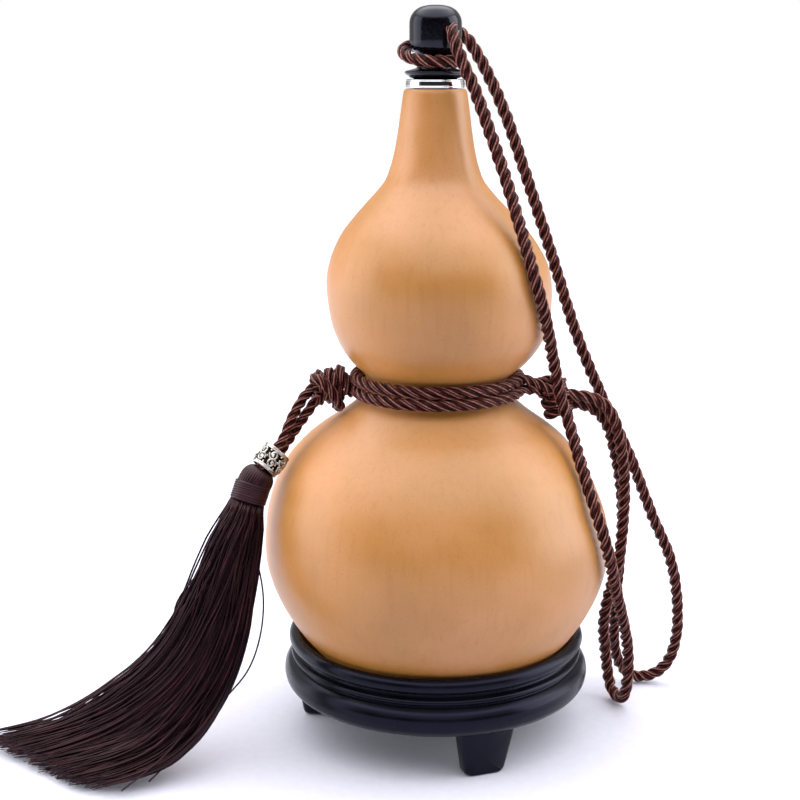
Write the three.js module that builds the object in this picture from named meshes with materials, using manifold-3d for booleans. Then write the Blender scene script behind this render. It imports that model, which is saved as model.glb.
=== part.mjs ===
// Dried bottle gourd made into a flask, on a three-footed stand. Millimetres, +Z up, front towards -Y.
import * as THREE from "three";
import Module from "manifold-3d";
import { mergeVertices } from "three/addons/utils/BufferGeometryUtils.js";

const wasm = await Module();
wasm.setup();

// ---- driving dimensions ----
const GAP = 0.3; // clearance between neighbouring pieces
const CORD_D = 5; // twisted carry cord
const KNOT_CORD_D = 4.3; // the same cord pulled tight in the knots
const WRAP_D = 4.6;
const TIE_D = 4.8;
const CORD_SIDES = 8;
const LATHE_SIDES = 48;
const NECK_X = -1.2; // the neck leans a little to the left of the stand's axis

const BORE_R = 8.2; // mouth of the gourd
const BORE_Z = 233;
const PLUG_R = 7.8;
const COLLAR_R = 10.8;
const COLLAR_Z0 = 246.3;
const COLLAR_Z1 = 249.4;
const KNOB_R = 9.45;
const KNOB_HOLE_R = 3.1;
const KNOB_HOLE_Z = 267;
const KNOB_HOLE_TURN = 0.674; // radians from the front towards the right

const WRAP_UPPER = { r: 30.8, z: 139.8 };
const WRAP_LOWER = { r: 31.1, z: 135.0 };

const STAND_UNDERSIDE_Z = 18.2;
const FOOT_TOP_WIDTH = 22;
const FOOT_BOTTOM_WIDTH = 15;
const FOOT_THICKNESS = 7.5;
const FOOT_R = 49.5;
const FOOT_FIRST_TURN = 0.34; // radians from the front towards the right

// Half profile of the gourd, bottom to top: [radius, height].
const GOURD_PROFILE = [
  [0, 22.6], [14, 22.1], [21, 22.3], [29, 23.8], [37.4, 27.6], [46.6, 33.4], [52.4, 39.6],
  [58, 48], [62.8, 58.5], [65.2, 67], [65.9, 75], [65.4, 82.5], [63.8, 90], [60.3, 99.5],
  [57.4, 105], [53.6, 110.4], [48.8, 115.6], [43.3, 120.2], [37.6, 124.2], [33.2, 127.6],
  [29.9, 130.6], [28, 133.2], [27.1, 135.6], [27.1, 138], [27.6, 140.2], [28.6, 142],
  [30.4, 143.6], [32.3, 145.2], [35.2, 148.7], [38, 153.4], [40, 158.8], [41.1, 164.6],
  [41.7, 171], [41.6, 177], [40.4, 182.6], [38, 188.2], [34.5, 194], [30.2, 199.2],
  [25.6, 204.2], [21.4, 208.8], [18.2, 213], [16.4, 217.6], [15.1, 222.6], [14.1, 228],
  [13.1, 234.4], [12.3, 240], [11.6, 244.6], [11.3, 245.7], [10.8, 246], [0, 246],
];
// Sideways offset of the gourd's centre at each height: it did not grow perfectly straight.
const GOURD_LEAN = [
  [22, 0.6], [50, 0.5], [68, 0], [82, 0], [95, -0.7], [109, -1], [118, -0.5], [130, 0],
  [145, 0.7], [155, 1.1], [170, 0.9], [183, 0.5], [194, -0.5], [205, -1.2], [225, -1.1],
  [246, NECK_X],
];
const STOPPER_PROFILE = [
  [0, 236.4], [7, 236.4], [PLUG_R, 237.6], [PLUG_R, 249.7], [8.8, 249.8], [10.9, 251.2],
  [11.2, 251.8], [10.9, 252.3], [7, 253.3], [6.5, 254], [6.5, 257], [7.2, 258.6], [8.4, 259.6],
  [9.2, 260.9], [KNOB_R, 262.6], [KNOB_R, 269.4], [9.2, 270.9], [8.5, 272.3], [7.3, 273.7],
  [5.4, 274.8], [2.8, 275.4], [0, 275.5],
];
const STAND_PROFILE = [
  [0, STAND_UNDERSIDE_Z], [55.5, STAND_UNDERSIDE_Z], [57.6, 19.2], [58.9, 21], [59.4, 23.6],
  [59.1, 26], [57.9, 28], [56.2, 29.1], [55.4, 29.5], [55.4, 30], [56.5, 30.6], [56.8, 31.4],
  [56.4, 32.2], [55.2, 32.7], [54.5, 33.3], [54.5, 34.1], [55.8, 34.6], [57.1, 35.7],
  [57.5, 37.2], [57, 38.8], [55.7, 39.9], [54.4, 40.1], [53.5, 39.6], [52, 37], [48.3, 32.2],
  [42, 26.8], [36, 23], [30, 21.6], [0, 21.4],
];

// Carry strap, from the right knot down to the floor, up over the front of the upper lobe, through the
// knob, down behind the gourd to the floor and back up to the knot.
const STRAP_ROUTE = [
  [52.2, -1, 132.2], [58.2, 1, 130.9], [63.8, 2.2, 128], [67.8, 3.2, 122.5], [71.4, 5, 110.5],
  [73.5, 6.8, 95], [73.6, 8, 77], [72.4, 10, 60], [69.6, 12.6, 47], [68.4, 15.4, 34],
  [69.8, 18.6, 21.5], [71.4, 20.6, 11.6], [72.8, 18.8, 5], [74.6, 13.6, 3.1], [76.2, 7.8, 5.6],
  [77, 4.8, 13], [76.6, 3, 27], [72.6, -6, 44], [67.6, -18, 61], [63.8, -28, 75],
  [60.6, -31.4, 86], [57, -30.4, 97], [53, -23, 110], [49, -14.6, 124], [45.6, -12.4, 134.5],
  [42.2, -15.4, 149], [38.6, -23, 164], [34.4, -28.9, 178.5], [29.9, -25.2, 194], [24.6, -18.6, 212],
  [18.4, -14.8, 230], [12.4, -13.4, 246], [8.2, -13.8, 255], [5.9, -13, 260.8], [4.8, -10.8, 265.2],
  [4.3, -7.5, 267], [-1.2, 0, 267], [-6.2, 6.3, 267], [-8.2, 10.4, 267], [-7.6, 14.4, 266.9],
  [-3.8, 17, 266.8], [1.6, 17.3, 266.9], [6.8, 16.6, 266.7], [11, 16, 263.6], [17.2, 16, 254],
  [25, 16.4, 237.6], [33.7, 17.4, 213.8], [43.9, 19.9, 184.7], [55.2, 21.8, 151.3],
  [65.7, 22.8, 126.8], [78, 24.6, 101.6], [88.4, 27, 76], [97, 29, 56.4], [101, 31, 37],
  [101.2, 32.4, 19.5], [97.6, 33.6, 8.2], [91, 34, 3.3], [84, 33.4, 3.5], [78, 31.4, 9.8],
  [75, 28.6, 20], [74.2, 25, 34], [74.6, 20.8, 55], [74.8, 17, 78], [73, 14.6, 94], [70, 11.8, 107],
  [66.6, 8.8, 117.6], [61.6, 6.2, 124.4], [55.2, 4.2, 127.6],
];
const STRAP_STEPS = 84;

// Doubled tassel cord: middle line of the pair, and the sideways offset of each strand from it.
const TASSEL_CORD_ROUTE = [
  [-48.4, -4.4, 131], [-51.2, -6.8, 127.2], [-54.2, -10, 122.4], [-56.8, -13, 117.8],
  [-59.3, -15.4, 114.4], [-62.4, -17.4, 110.8], [-65.6, -19.3, 107.2],
];
const TASSEL_CORD_SPREAD = [
  [1.7, 0.4, -1.6], [1.6, 1, -1.5], [1.2, 1.6, -1.2], [0.7, 2.1, -0.9], [0.6, 2.15, -0.9],
  [0.6, 2.15, -0.9], [0.6, 2.15, -0.9],
];
const TASSEL_CORD_D = 4.2;
const BEAD_FROM = [-59.5, -15.55, 114.2];
const BEAD_TO = [-64.7, -18.75, 108.25];
const HEAD_TO = [-68.6, -21, 102.5];
const BINDING_TO = [-70.5, -22.4, 96.9];
// Skirt sections: centre, half-width vector, half-thickness.
const SKIRT_SECTIONS = [
  [[-70.9, -22.75, 95.6], [6.3, 0, -2.1], 6.2],
  [[-72.4, -24, 90], [8.2, 0, -2.6], 7.4],
  [[-75, -26.4, 82.4], [10, -0.4, -3], 8],
  [[-78.6, -29.4, 70], [11.4, -1, -3.4], 8.4],
  [[-82.6, -32.6, 56], [12.6, -2, -4.6], 8.8],
  [[-87.6, -35.2, 43.6], [13.6, -3.6, -6.2], 8.8],
  [[-94.6, -37.4, 32], [15, -6, -7.4], 8.4],
  [[-104, -39.6, 21.8], [17, -9.6, -7.4], 7.4],
  [[-115, -41.8, 13.6], [19.6, -13.6, -5.4], 6.2],
  [[-128, -43.6, 8], [22.6, -17.4, -2.6], 5],
  [[-141.6, -45, 5], [25, -20.4, -0.8], 3.6],
];

// ---- materials ----
const paint = (color, roughness, metalness = 0) =>
  new THREE.MeshStandardMaterial({ color, roughness, metalness });
const RIND = paint(0xd9a56f, 0.45);
const STEEL = paint(0xd8d8da, 0.12, 1);
const BLACK = paint(0x17171b, 0.3);
const CORD = paint(0x4a2426, 0.7);
const SILVER = paint(0xb9b6b0, 0.35, 1);
const THREAD = paint(0x2a1116, 0.7);
const BAND = paint(0x3c2028, 0.7);
const LACQUER = paint(0x1b1c20, 0.4);

const part = new THREE.Group();
part.name = "gourd_flask";
const add = (name, geometry, material) => {
  const mesh = new THREE.Mesh(geometry, material);
  mesh.name = name;
  part.add(mesh);
  return mesh;
};

// ---- helpers ----
const vec = (p) => new THREE.Vector3(...p);

function solid(geometry) {
  const g = geometry.clone();
  g.deleteAttribute("normal");
  g.deleteAttribute("uv");
  const merged = mergeVertices(g, 1e-3);
  return new wasm.Manifold(
    new wasm.Mesh({
      numProp: 3,
      vertProperties: merged.attributes.position.array,
      triVerts: new Uint32Array(merged.index.array),
    }),
  );
}

function geometryOf(manifold) {
  const m = manifold.getMesh();
  const g = new THREE.BufferGeometry();
  g.setAttribute("position", new THREE.BufferAttribute(new Float32Array(m.vertProperties), 3));
  g.setIndex(new THREE.BufferAttribute(new Uint32Array(m.triVerts), 1));
  g.computeVertexNormals();
  return g;
}

// A body of revolution about a vertical axis at x.
function turned(profile, x = 0, sides = LATHE_SIDES) {
  const g = new THREE.LatheGeometry(profile.map((p) => new THREE.Vector2(...p)), sides);
  return g.rotateX(Math.PI / 2).translate(x, 0, 0);
}

// The same, about the line from one point to another.
function turnedAlong(profile, from, to, sides = 32) {
  const axis = vec(to).sub(vec(from)).normalize();
  const turn = new THREE.Quaternion().setFromUnitVectors(new THREE.Vector3(0, 0, 1), axis);
  return turned(profile, 0, sides).applyQuaternion(turn).translate(...from);
}

function between(table, z) {
  if (z <= table[0][0]) return table[0][1];
  for (let i = 1; i < table.length; i++) {
    const [z0, v0] = table[i - 1];
    const [z1, v1] = table[i];
    if (z <= z1) return v0 + ((v1 - v0) * (z - z0)) / (z1 - z0);
  }
  return table[table.length - 1][1];
}

// A smooth route whose sections lie closest where its points do, so tight bends get more of them.
class Route extends THREE.CatmullRomCurve3 {
  getUtoTmapping(u) {
    return u;
  }
}

function cord(points, diameter, steps, closed = false) {
  const section = new THREE.Shape();
  for (let i = 0; i < CORD_SIDES; i++) {
    const a = (2 * Math.PI * i) / CORD_SIDES;
    const [x, y] = [(diameter / 2) * Math.cos(a), (diameter / 2) * Math.sin(a)];
    if (i) section.lineTo(x, y);
    else section.moveTo(x, y);
  }
  section.closePath();
  return new THREE.ExtrudeGeometry(section, {
    steps,
    bevelEnabled: false,
    extrudePath: new Route(points.map(vec), closed, "centripetal"),
  });
}

// A cord wound into a short coil about the line through its middle.
function coilPoints(middle, axis, radius, pitch, turns, start) {
  const along = vec(axis).normalize();
  const side = new THREE.Vector3(0, 1, 0).cross(along).normalize();
  const up = along.clone().cross(side);
  const count = Math.round(turns * 12);
  return Array.from({ length: count + 1 }, (_, i) => {
    const t = (i / count) * turns;
    const a = start + 2 * Math.PI * t;
    const p = vec(middle).addScaledVector(along, (t - turns / 2) * pitch);
    return p
      .addScaledVector(side, radius * Math.cos(a))
      .addScaledVector(up, radius * Math.sin(a))
      .toArray();
  });
}

// A closed skin through rings of points.
function loft(rings) {
  const n = rings[0].length;
  const position = rings.flat(2);
  const index = [];
  for (let k = 0; k + 1 < rings.length; k++) {
    for (let i = 0; i < n; i++) {
      const [a, b] = [k * n + i, k * n + ((i + 1) % n)];
      index.push(a, b, b + n, a, b + n, a + n);
    }
  }
  for (const k of [0, rings.length - 1]) {
    const middle = rings[k].reduce((s, p) => s.add(vec(p)), new THREE.Vector3()).divideScalar(n);
    position.push(...middle.toArray());
    const m = position.length / 3 - 1;
    for (let i = 0; i < n; i++) {
      const [a, b] = [k * n + i, k * n + ((i + 1) % n)];
      if (k) index.push(a, b, m);
      else index.push(b, a, m);
    }
  }
  const g = new THREE.BufferGeometry();
  g.setAttribute("position", new THREE.Float32BufferAttribute(position, 3));
  g.setIndex(index);
  g.computeVertexNormals();
  return g;
}

// ---- gourd ----
const gourdSkin = turned(GOURD_PROFILE);
const skinPoints = gourdSkin.attributes.position;
for (let i = 0; i < skinPoints.count; i++) {
  skinPoints.setX(i, skinPoints.getX(i) + between(GOURD_LEAN, skinPoints.getZ(i)));
}
const bore = solid(turned([[0, BORE_Z], [BORE_R, BORE_Z], [BORE_R, 250], [0, 250]], NECK_X, 48));
add("gourd", geometryOf(solid(gourdSkin).subtract(bore)), RIND);

// ---- mouth ----
add(
  "mouth_collar",
  turned(
    [
      [BORE_R, COLLAR_Z0], [COLLAR_R - 0.2, COLLAR_Z0], [COLLAR_R, COLLAR_Z0 + 0.3],
      [COLLAR_R, COLLAR_Z1 - 0.4], [COLLAR_R - 0.4, COLLAR_Z1], [BORE_R, COLLAR_Z1],
      [BORE_R, COLLAR_Z0],
    ],
    NECK_X,
    48,
  ),
  STEEL,
);
const hole = new THREE.CylinderGeometry(KNOB_HOLE_R, KNOB_HOLE_R, 30, 32)
  .rotateZ(KNOB_HOLE_TURN)
  .translate(NECK_X, 0, KNOB_HOLE_Z);
add("stopper", geometryOf(solid(turned(STOPPER_PROFILE, NECK_X, 32)).subtract(solid(hole))), BLACK);

// The tie climbs a little at the left and back, where it leaves the waist of the stopper.
const TIE_TURN = [
  [0, 9.8, 255.6], [45, 10.1, 256.4], [80, 11, 258], [115, 12.3, 260.4], [150, 12.4, 261.2],
  [190, 11.8, 259], [235, 10.1, 256.6], [300, 9.8, 255.7],
];
add(
  "stopper_tie",
  cord(
    TIE_TURN.map(([turn, r, z]) => {
      const a = THREE.MathUtils.degToRad(turn);
      return [NECK_X - r * Math.sin(a), -r * Math.cos(a), z];
    }),
    TIE_D,
    36,
    true,
  ),
  CORD,
);

// ---- waist cord ----
for (const [name, ring] of [["waist_wrap_upper", WRAP_UPPER], ["waist_wrap_lower", WRAP_LOWER]]) {
  add(name, new THREE.TorusGeometry(ring.r, WRAP_D / 2, 10, 48).translate(0.1, 0, ring.z), CORD);
}
add(
  "left_knot",
  cord(coilPoints([-41, -1.6, 136.2], [1, 0.1, 0.28], 4.7, 4.6, 2.2, 0.4), KNOT_CORD_D, 30),
  CORD,
);
add(
  "right_knot",
  cord(coilPoints([44.6, -0.4, 131], [0.26, 0, -0.96], 3.8, 4.6, 2.7, 0.2), KNOT_CORD_D, 34),
  CORD,
);
add("carry_strap", cord(STRAP_ROUTE, CORD_D, STRAP_STEPS), CORD);

// ---- tassel ----
for (const [i, side] of [1, -1].entries()) {
  const points = TASSEL_CORD_ROUTE.map((p, k) =>
    vec(p).addScaledVector(vec(TASSEL_CORD_SPREAD[k]), side * 0.94).toArray(),
  );
  add("tassel_cord_" + (i + 1), cord(points, TASSEL_CORD_D, 14), CORD);
}
part.updateMatrixWorld(true);
const length = (a, b) => vec(a).distanceTo(vec(b));
const beadLength = length(BEAD_FROM, BEAD_TO);
const bead = turnedAlong(
  [
    [0, 0], [4.9, 0], [5.3, 0.5], [5.9, 2.2], [6.1, beadLength / 2], [5.9, beadLength - 2.2],
    [5.3, beadLength - 0.5], [4.9, beadLength], [0, beadLength],
  ],
  BEAD_FROM,
  BEAD_TO,
);
const headLength = length(BEAD_TO, HEAD_TO);
const head = turnedAlong(
  [
    [0, -2], [3.4, -1.4], [4.6, 0], [5.7, 1.4], [6.3, 3.2], [6.4, 5], [6.2, headLength + 3],
    [0, headLength + 3],
  ],
  BEAD_TO,
  HEAD_TO,
);
const bindingLength = length(HEAD_TO, BINDING_TO);
const binding = turnedAlong(
  [[0, -3], [6.4, -3], [6.4, bindingLength - 0.6], [6, bindingLength], [0, bindingLength]],
  HEAD_TO,
  BINDING_TO,
);
// The head meets the bead's flat end, and the binding on a plane that halves the bend between them.
const beadAxis = vec(BEAD_TO).sub(vec(BEAD_FROM)).normalize();
const headAxis = vec(HEAD_TO).sub(vec(BEAD_TO)).normalize();
const bindingAxis = vec(BINDING_TO).sub(vec(HEAD_TO)).normalize();
const joint = headAxis.clone().add(bindingAxis).normalize();
const beyond = (body, point, normal, margin) =>
  body.trimByPlane(normal.toArray(), normal.dot(vec(point)) + margin);
const before = (body, point, normal, margin) =>
  body.trimByPlane(normal.clone().negate().toArray(), -normal.dot(vec(point)) + margin);
// One clearance passage for both strands, from above the bead to where they end in the head.
const passage = [1, -1]
  .map((side) => {
    const points = TASSEL_CORD_ROUTE.slice(2).map((p, k) =>
      vec(p).addScaledVector(vec(TASSEL_CORD_SPREAD[k + 2]), side * 0.94).toArray(),
    );
    const end = vec(points[4]).addScaledVector(vec(points[4]).sub(vec(points[3])).normalize(), GAP);
    points[4] = end.toArray();
    return solid(cord(points, TASSEL_CORD_D + 2 * GAP, 12));
  })
  .reduce((a, b) => a.add(b));
add("tassel_bead", geometryOf(solid(bead).subtract(passage)), SILVER);
const headBody = beyond(before(solid(head), HEAD_TO, joint, GAP / 2), BEAD_TO, beadAxis, GAP);
add("tassel_head", geometryOf(headBody.subtract(passage)), THREAD);
add("tassel_binding", geometryOf(beyond(solid(binding), HEAD_TO, joint, GAP / 2)), BAND);
const SKIRT_SIDES = 20;
const centres = SKIRT_SECTIONS.map(([c]) => vec(c));
add(
  "tassel_skirt",
  loft(
    SKIRT_SECTIONS.map(([c, wide, thick], k) => {
      const along = centres[Math.min(k + 1, centres.length - 1)].clone();
      along.sub(centres[Math.max(k - 1, 0)]).normalize();
      const deep = along.cross(vec(wide)).normalize().multiplyScalar(thick);
      return Array.from({ length: SKIRT_SIDES }, (_, i) => {
        const a = (2 * Math.PI * i) / SKIRT_SIDES;
        return vec(c)
          .addScaledVector(vec(wide), Math.cos(a))
          .addScaledVector(deep, Math.sin(a))
          .toArray();
      });
    }),
  ),
  THREAD,
);

// ---- stand ----
add("stand", turned(STAND_PROFILE), LACQUER);
const footTop = STAND_UNDERSIDE_Z - GAP;
const footFace = new THREE.Shape();
const [t, b] = [FOOT_TOP_WIDTH / 2, FOOT_BOTTOM_WIDTH / 2];
footFace.moveTo(-t, footTop);
footFace.lineTo(-t + 0.6, footTop - 3);
footFace.lineTo(-b - 0.3, 1.2);
footFace.quadraticCurveTo(-b, 0, -b + 1.2, 0);
footFace.lineTo(b - 1.2, 0);
footFace.quadraticCurveTo(b, 0, b + 0.3, 1.2);
footFace.lineTo(t - 0.6, footTop - 3);
footFace.lineTo(t, footTop);
footFace.closePath();
for (let i = 0; i < 3; i++) {
  const foot = new THREE.ExtrudeGeometry(footFace, {
    depth: FOOT_THICKNESS - 1.6,
    bevelThickness: 0.8,
    bevelSize: 0.8,
    bevelOffset: -0.8,
    bevelSegments: 2,
    curveSegments: 4,
  });
  foot.translate(0, 0, -FOOT_THICKNESS / 2 + 0.8).rotateX(Math.PI / 2); // stands up, front towards -Y
  const p = foot.attributes.position;
  for (let k = 0; k < p.count; k++) p.setY(k, p.getY(k) - 0.14 * (p.getZ(k) - footTop / 2) - FOOT_R);
  foot.rotateZ(FOOT_FIRST_TURN + (2 * Math.PI * i) / 3);
  add("stand_foot_" + (i + 1), foot, LACQUER);
}

export default part;
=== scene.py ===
# %% [markdown]
# # A dried bottle gourd made into a flask
# This notebook dresses the CAD model of a gourd flask in its real skin: polished rind, twisted cord, rayon
# tassel, steel, black plastic and black lacquer. The scene is in metres, +Z is up, and the front faces -Y.
# Sizes in the cells are in millimetres, as in the CAD, and become metres when a mesh is made. The CAD pieces
# say where each thing is. Where a CAD piece is only a plain stand-in, such as a round tube for a twisted
# cord, a detailed piece is built on the same line and takes its place.

import math
import random

import bpy
import numpy as np
from mathutils import Matrix, Vector


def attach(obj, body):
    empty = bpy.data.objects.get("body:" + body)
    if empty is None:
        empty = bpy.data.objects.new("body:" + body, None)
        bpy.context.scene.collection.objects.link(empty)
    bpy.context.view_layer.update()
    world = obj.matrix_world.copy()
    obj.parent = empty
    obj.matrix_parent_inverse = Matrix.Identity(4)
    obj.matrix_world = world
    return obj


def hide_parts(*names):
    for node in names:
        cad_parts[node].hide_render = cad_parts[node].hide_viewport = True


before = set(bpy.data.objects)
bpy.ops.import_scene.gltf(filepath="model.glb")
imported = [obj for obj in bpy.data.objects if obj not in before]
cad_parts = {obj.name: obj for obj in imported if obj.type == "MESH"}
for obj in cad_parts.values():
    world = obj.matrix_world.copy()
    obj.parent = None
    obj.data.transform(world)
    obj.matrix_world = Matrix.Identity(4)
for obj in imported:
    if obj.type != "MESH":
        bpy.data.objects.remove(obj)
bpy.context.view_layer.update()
MM = 0.001

# %% [markdown]
# ## Camera
# The flask is seen from the height of its stopper and about half a metre away, through a fairly long lens
# that looks slightly down. The camera is set first, because everything else is judged through it.

# %% Camera
CAMERA_AT = Vector((-14, -545, 255)) * MM
CAMERA_PITCH = math.radians(12.9)  # looking down from the horizon
LENS = 66.15  # mm on a 36 mm sensor

camera_data = bpy.data.cameras.new("studio_camera")
camera_data.lens = LENS
camera_data.sensor_width = 36
camera_data.clip_start, camera_data.clip_end = 0.01, 20
camera = bpy.data.objects.new("studio_camera", camera_data)
bpy.context.collection.objects.link(camera)
camera.location = CAMERA_AT
camera.rotation_euler = (math.radians(90) - CAMERA_PITCH, 0, 0)
bpy.context.scene.camera = camera
print("camera", tuple(round(v, 3) for v in camera.location), "lens", LENS)

# %% [markdown]
# ## A smooth line through a few points
# Every cord follows a line that passes through a short list of points. A spline joins them, and it is then
# cut into even steps, because a twisted cord shows any uneven step as a kink in its strands.


# %% Lines
def smooth_line(points, step, closed=False):
    """Points in millimetres, joined by a centripetal Catmull-Rom spline and cut into even steps."""
    p = np.array(points, float)
    if closed:
        p = np.vstack([p[-1], p, p[0], p[1]])
    else:
        p = np.vstack([2 * p[0] - p[1], p, 2 * p[-1] - p[-2]])
    fine = []
    for p0, p1, p2, p3 in zip(p, p[1:], p[2:], p[3:]):
        a, b, c = (max(np.linalg.norm(v) ** 0.5, 1e-9) for v in (p1 - p0, p2 - p1, p3 - p2))
        m1 = ((p1 - p0) / a - (p2 - p0) / (a + b) + (p2 - p1) / b) * b
        m2 = ((p2 - p1) / b - (p3 - p1) / (b + c) + (p3 - p2) / c) * b
        t = np.linspace(0, 1, 24, endpoint=False)[:, None]
        fine.append(
            (2 * t**3 - 3 * t**2 + 1) * p1
            + (t**3 - 2 * t**2 + t) * m1
            + (3 * t**2 - 2 * t**3) * p2
            + (t**3 - t**2) * m2
        )
    fine = np.vstack([*fine, p[-2]])
    return even_steps(fine, step)


def even_steps(line, step):
    """The same line, cut into pieces of about one step each."""
    run = np.concatenate([[0], np.cumsum(np.linalg.norm(np.diff(line, axis=0), axis=1))])
    at = np.linspace(0, run[-1], max(2, int(round(run[-1] / step)) + 1))
    return np.stack([np.interp(at, run, line[:, k]) for k in range(3)], 1)


def line_length(line):
    """The length of a line of points."""
    return float(np.linalg.norm(np.diff(line, axis=0), axis=1).sum())


def unit(v):
    """The same direction or directions, one long."""
    v = np.asarray(v, float)
    return v / np.maximum(np.linalg.norm(v, axis=-1, keepdims=True), 1e-12)


print("a straight test line is", line_length(smooth_line([(0, 0, 0), (30, 0, 0), (60, 0, 0)], 1)), "mm long")

# %% [markdown]
# ## A piece from points
# Every piece is worked out as points and faces in plain arithmetic and then handed to Blender in one go,
# which is faster than building it with modelling operators and gives the same mesh each time. Long, thin
# things and turned things share one pattern: rings of points, joined by four-sided faces and closed at each
# end by a fan. A piece may also carry a laid-out coordinate, in millimetres, for a pattern that follows it.


# %% Pieces
def tube_faces(rings, sides, closed=False):
    """Quads between rings of points, and a fan of triangles over each open end."""
    faces = []
    for k in range(rings if closed else rings - 1):
        a, b = k * sides, ((k + 1) % rings) * sides
        for i in range(sides):
            j = (i + 1) % sides
            faces.append((a + i, b + i, b + j, a + j))
    if not closed:
        last = (rings - 1) * sides
        middle = rings * sides
        for i in range(sides):
            j = (i + 1) % sides
            faces.append((i, j, middle))
            faces.append((last + j, last + i, middle + 1))
    return faces


def new_piece(name, vertices, faces, material=None, smooth=True, uv=None):
    """A mesh object from millimetre vertices. uv gives one pair for each vertex, in millimetres."""
    mesh = bpy.data.meshes.new(name)
    mesh.from_pydata((np.asarray(vertices) * MM).tolist(), [], faces)
    mesh.validate()
    if uv is not None:
        layer = mesh.uv_layers.new(name="laid")
        corner = np.zeros(len(mesh.loops), dtype=np.int32)
        mesh.loops.foreach_get("vertex_index", corner)
        layer.data.foreach_set("uv", np.asarray(uv, float)[corner].ravel())
    mesh.polygons.foreach_set("use_smooth", [smooth] * len(mesh.polygons))
    mesh.update()
    piece = bpy.data.objects.new(name, mesh)
    bpy.context.collection.objects.link(piece)
    if material:
        mesh.materials.append(material)
    return piece


def dress(piece, node):
    """Ties a piece to the flask's one body and puts it in a CAD node's place."""
    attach(piece, "root")
    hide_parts(node)


print("a tube of 3 rings of 8 points has", len(tube_faces(3, 8)), "faces")

# %% [markdown]
# ## Twisted cord: its section
# The cord is a three-strand satin rope, 5 mm thick. Each strand makes a full turn every 13.4 mm, and each
# is itself a bundle of fine yarns, which shows as thin lines that run along it. A plain tube with a striped
# pattern on it would have a smooth edge; a real rope's edge is a row of bumps. So the section of the rope
# is drawn as the outline of three round strands, and it is turned steadily as it moves along the line. The
# mesh's long edges then follow the strands.

# %% Rope section
STRANDS = 3
CORD_LAY = 13.4  # mm of cord in one full turn of a strand
YARNS = 3  # ridges that show on one strand
YARN_LAY = 7.5  # mm of cord in which a yarn moves over by its own width
YARN_RELIEF = 0.05  # of the cord's radius
STRAND_FACE = 2.4  # mm from the top of a strand to the valley, as laid out for the pattern


def rope_section(points_per_strand=16, strands=STRANDS):
    """Angle, radius as a share of the cord's radius, and place on the strand from -1 to 1."""
    section = []
    small = math.sin(math.pi / strands) / (1 + math.sin(math.pi / strands))
    for k in range(strands):
        for j in range(points_per_strand):
            off = (j / points_per_strand - 0.5) * 2 * math.pi / strands
            inside = max(small**2 - ((1 - small) * math.sin(off)) ** 2, 0)
            round_strand = (1 - small) * math.cos(off) + math.sqrt(inside)
            across = off / (math.pi / strands)
            section.append((off + 2 * math.pi * k / strands, 0.25 + 0.75 * max(round_strand, 0.55), across))
    return np.array(section)


print("rope section has", len(rope_section()), "points")

# %% [markdown]
# ## Directions along a line
# To lay a section round a line, each point of the line needs two sideways directions. If they were worked
# out afresh at every point, they would flip over where the line goes straight up. So the first pair is
# chosen and then carried along, turned as little as each bend needs. That way the cord's twist is its own.


# %% Directions along a line
def carried_frames(line, closed=False):
    """Tangent, and two sideways directions that turn as little as they can along the line."""
    if closed:
        tangent = unit(np.roll(line, -1, 0) - np.roll(line, 1, 0))
    else:
        tangent = unit(np.gradient(line, axis=0))
    side = np.zeros_like(line)
    first = np.cross(tangent[0], (0.0, 0.0, 1.0))
    if np.linalg.norm(first) < 0.1:
        first = np.cross(tangent[0], (0.0, 1.0, 0.0))
    side[0] = unit(first)
    for i in range(1, len(line)):
        s = side[i - 1] - tangent[i] * np.dot(side[i - 1], tangent[i])
        side[i] = unit(s)
    return tangent, side, np.cross(tangent, side)


print("first sideways direction", carried_frames(np.array([(0.0, 0, 0), (1, 0, 0), (2, 0, 0)]))[1][0])

# %% [markdown]
# ## Twisted cord: its mesh
# The section is laid at each step of the line and turned a little further each time. Small ridges on it are
# the yarns. A closed turn of cord has to meet itself strand to strand, so its twist is made a whole number
# of strands, less whatever angle the carried directions picked up on the way round.


# %% Twisted cord mesh
def twisted_cord_mesh(
    line, diameter, closed=False, lay=CORD_LAY, start_turn=0.0, per_strand=16, strands=STRANDS
):
    """Vertices, faces and uv of a twisted cord along an evenly stepped line."""
    section = rope_section(per_strand, strands)
    sides = len(section)
    tangent, side, up = carried_frames(line, closed)
    run = np.concatenate([[0], np.cumsum(np.linalg.norm(np.diff(line, axis=0), axis=1))])
    turns = run / lay
    if closed:
        run_all = run[-1] + np.linalg.norm(line[0] - line[-1])
        whole = max(1, round(run_all / lay * strands)) / strands
        arrived = side[-1] - tangent[0] * np.dot(side[-1], tangent[0])
        swing = math.atan2(np.dot(arrived, up[0]), np.dot(arrived, side[0]))
        turns = run / run_all * (whole - swing / (2 * math.pi))
    radius = diameter / 2
    angle, share, across = section.T
    turned = start_turn + angle[None, :] + 2 * math.pi * turns[:, None]
    # Yarns lie nearer to the cord's own direction than the strand that they make up.
    ridge = np.cos(math.pi * YARNS * across[None, :] + 2 * math.pi * run[:, None] / YARN_LAY)
    edge = 1 - np.abs(across[None, :]) ** 4
    r = radius * (share[None, :] + YARN_RELIEF * ridge * edge - YARN_RELIEF)
    points = (
        line[:, None, :]
        + r[..., None] * np.cos(turned)[..., None] * side[:, None, :]
        + r[..., None] * np.sin(turned)[..., None] * up[:, None, :]
    )
    vertices = points.reshape(-1, 3)
    uv = np.stack(
        np.broadcast_arrays((across[None, :] * STRAND_FACE), run[:, None]), -1
    ).reshape(-1, 2)
    if not closed:
        vertices = np.vstack([vertices, line[0], line[-1]])
        uv = np.vstack([uv, (0, 0), (0, run[-1])])
    return vertices, tube_faces(len(line), sides, closed), uv


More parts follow.
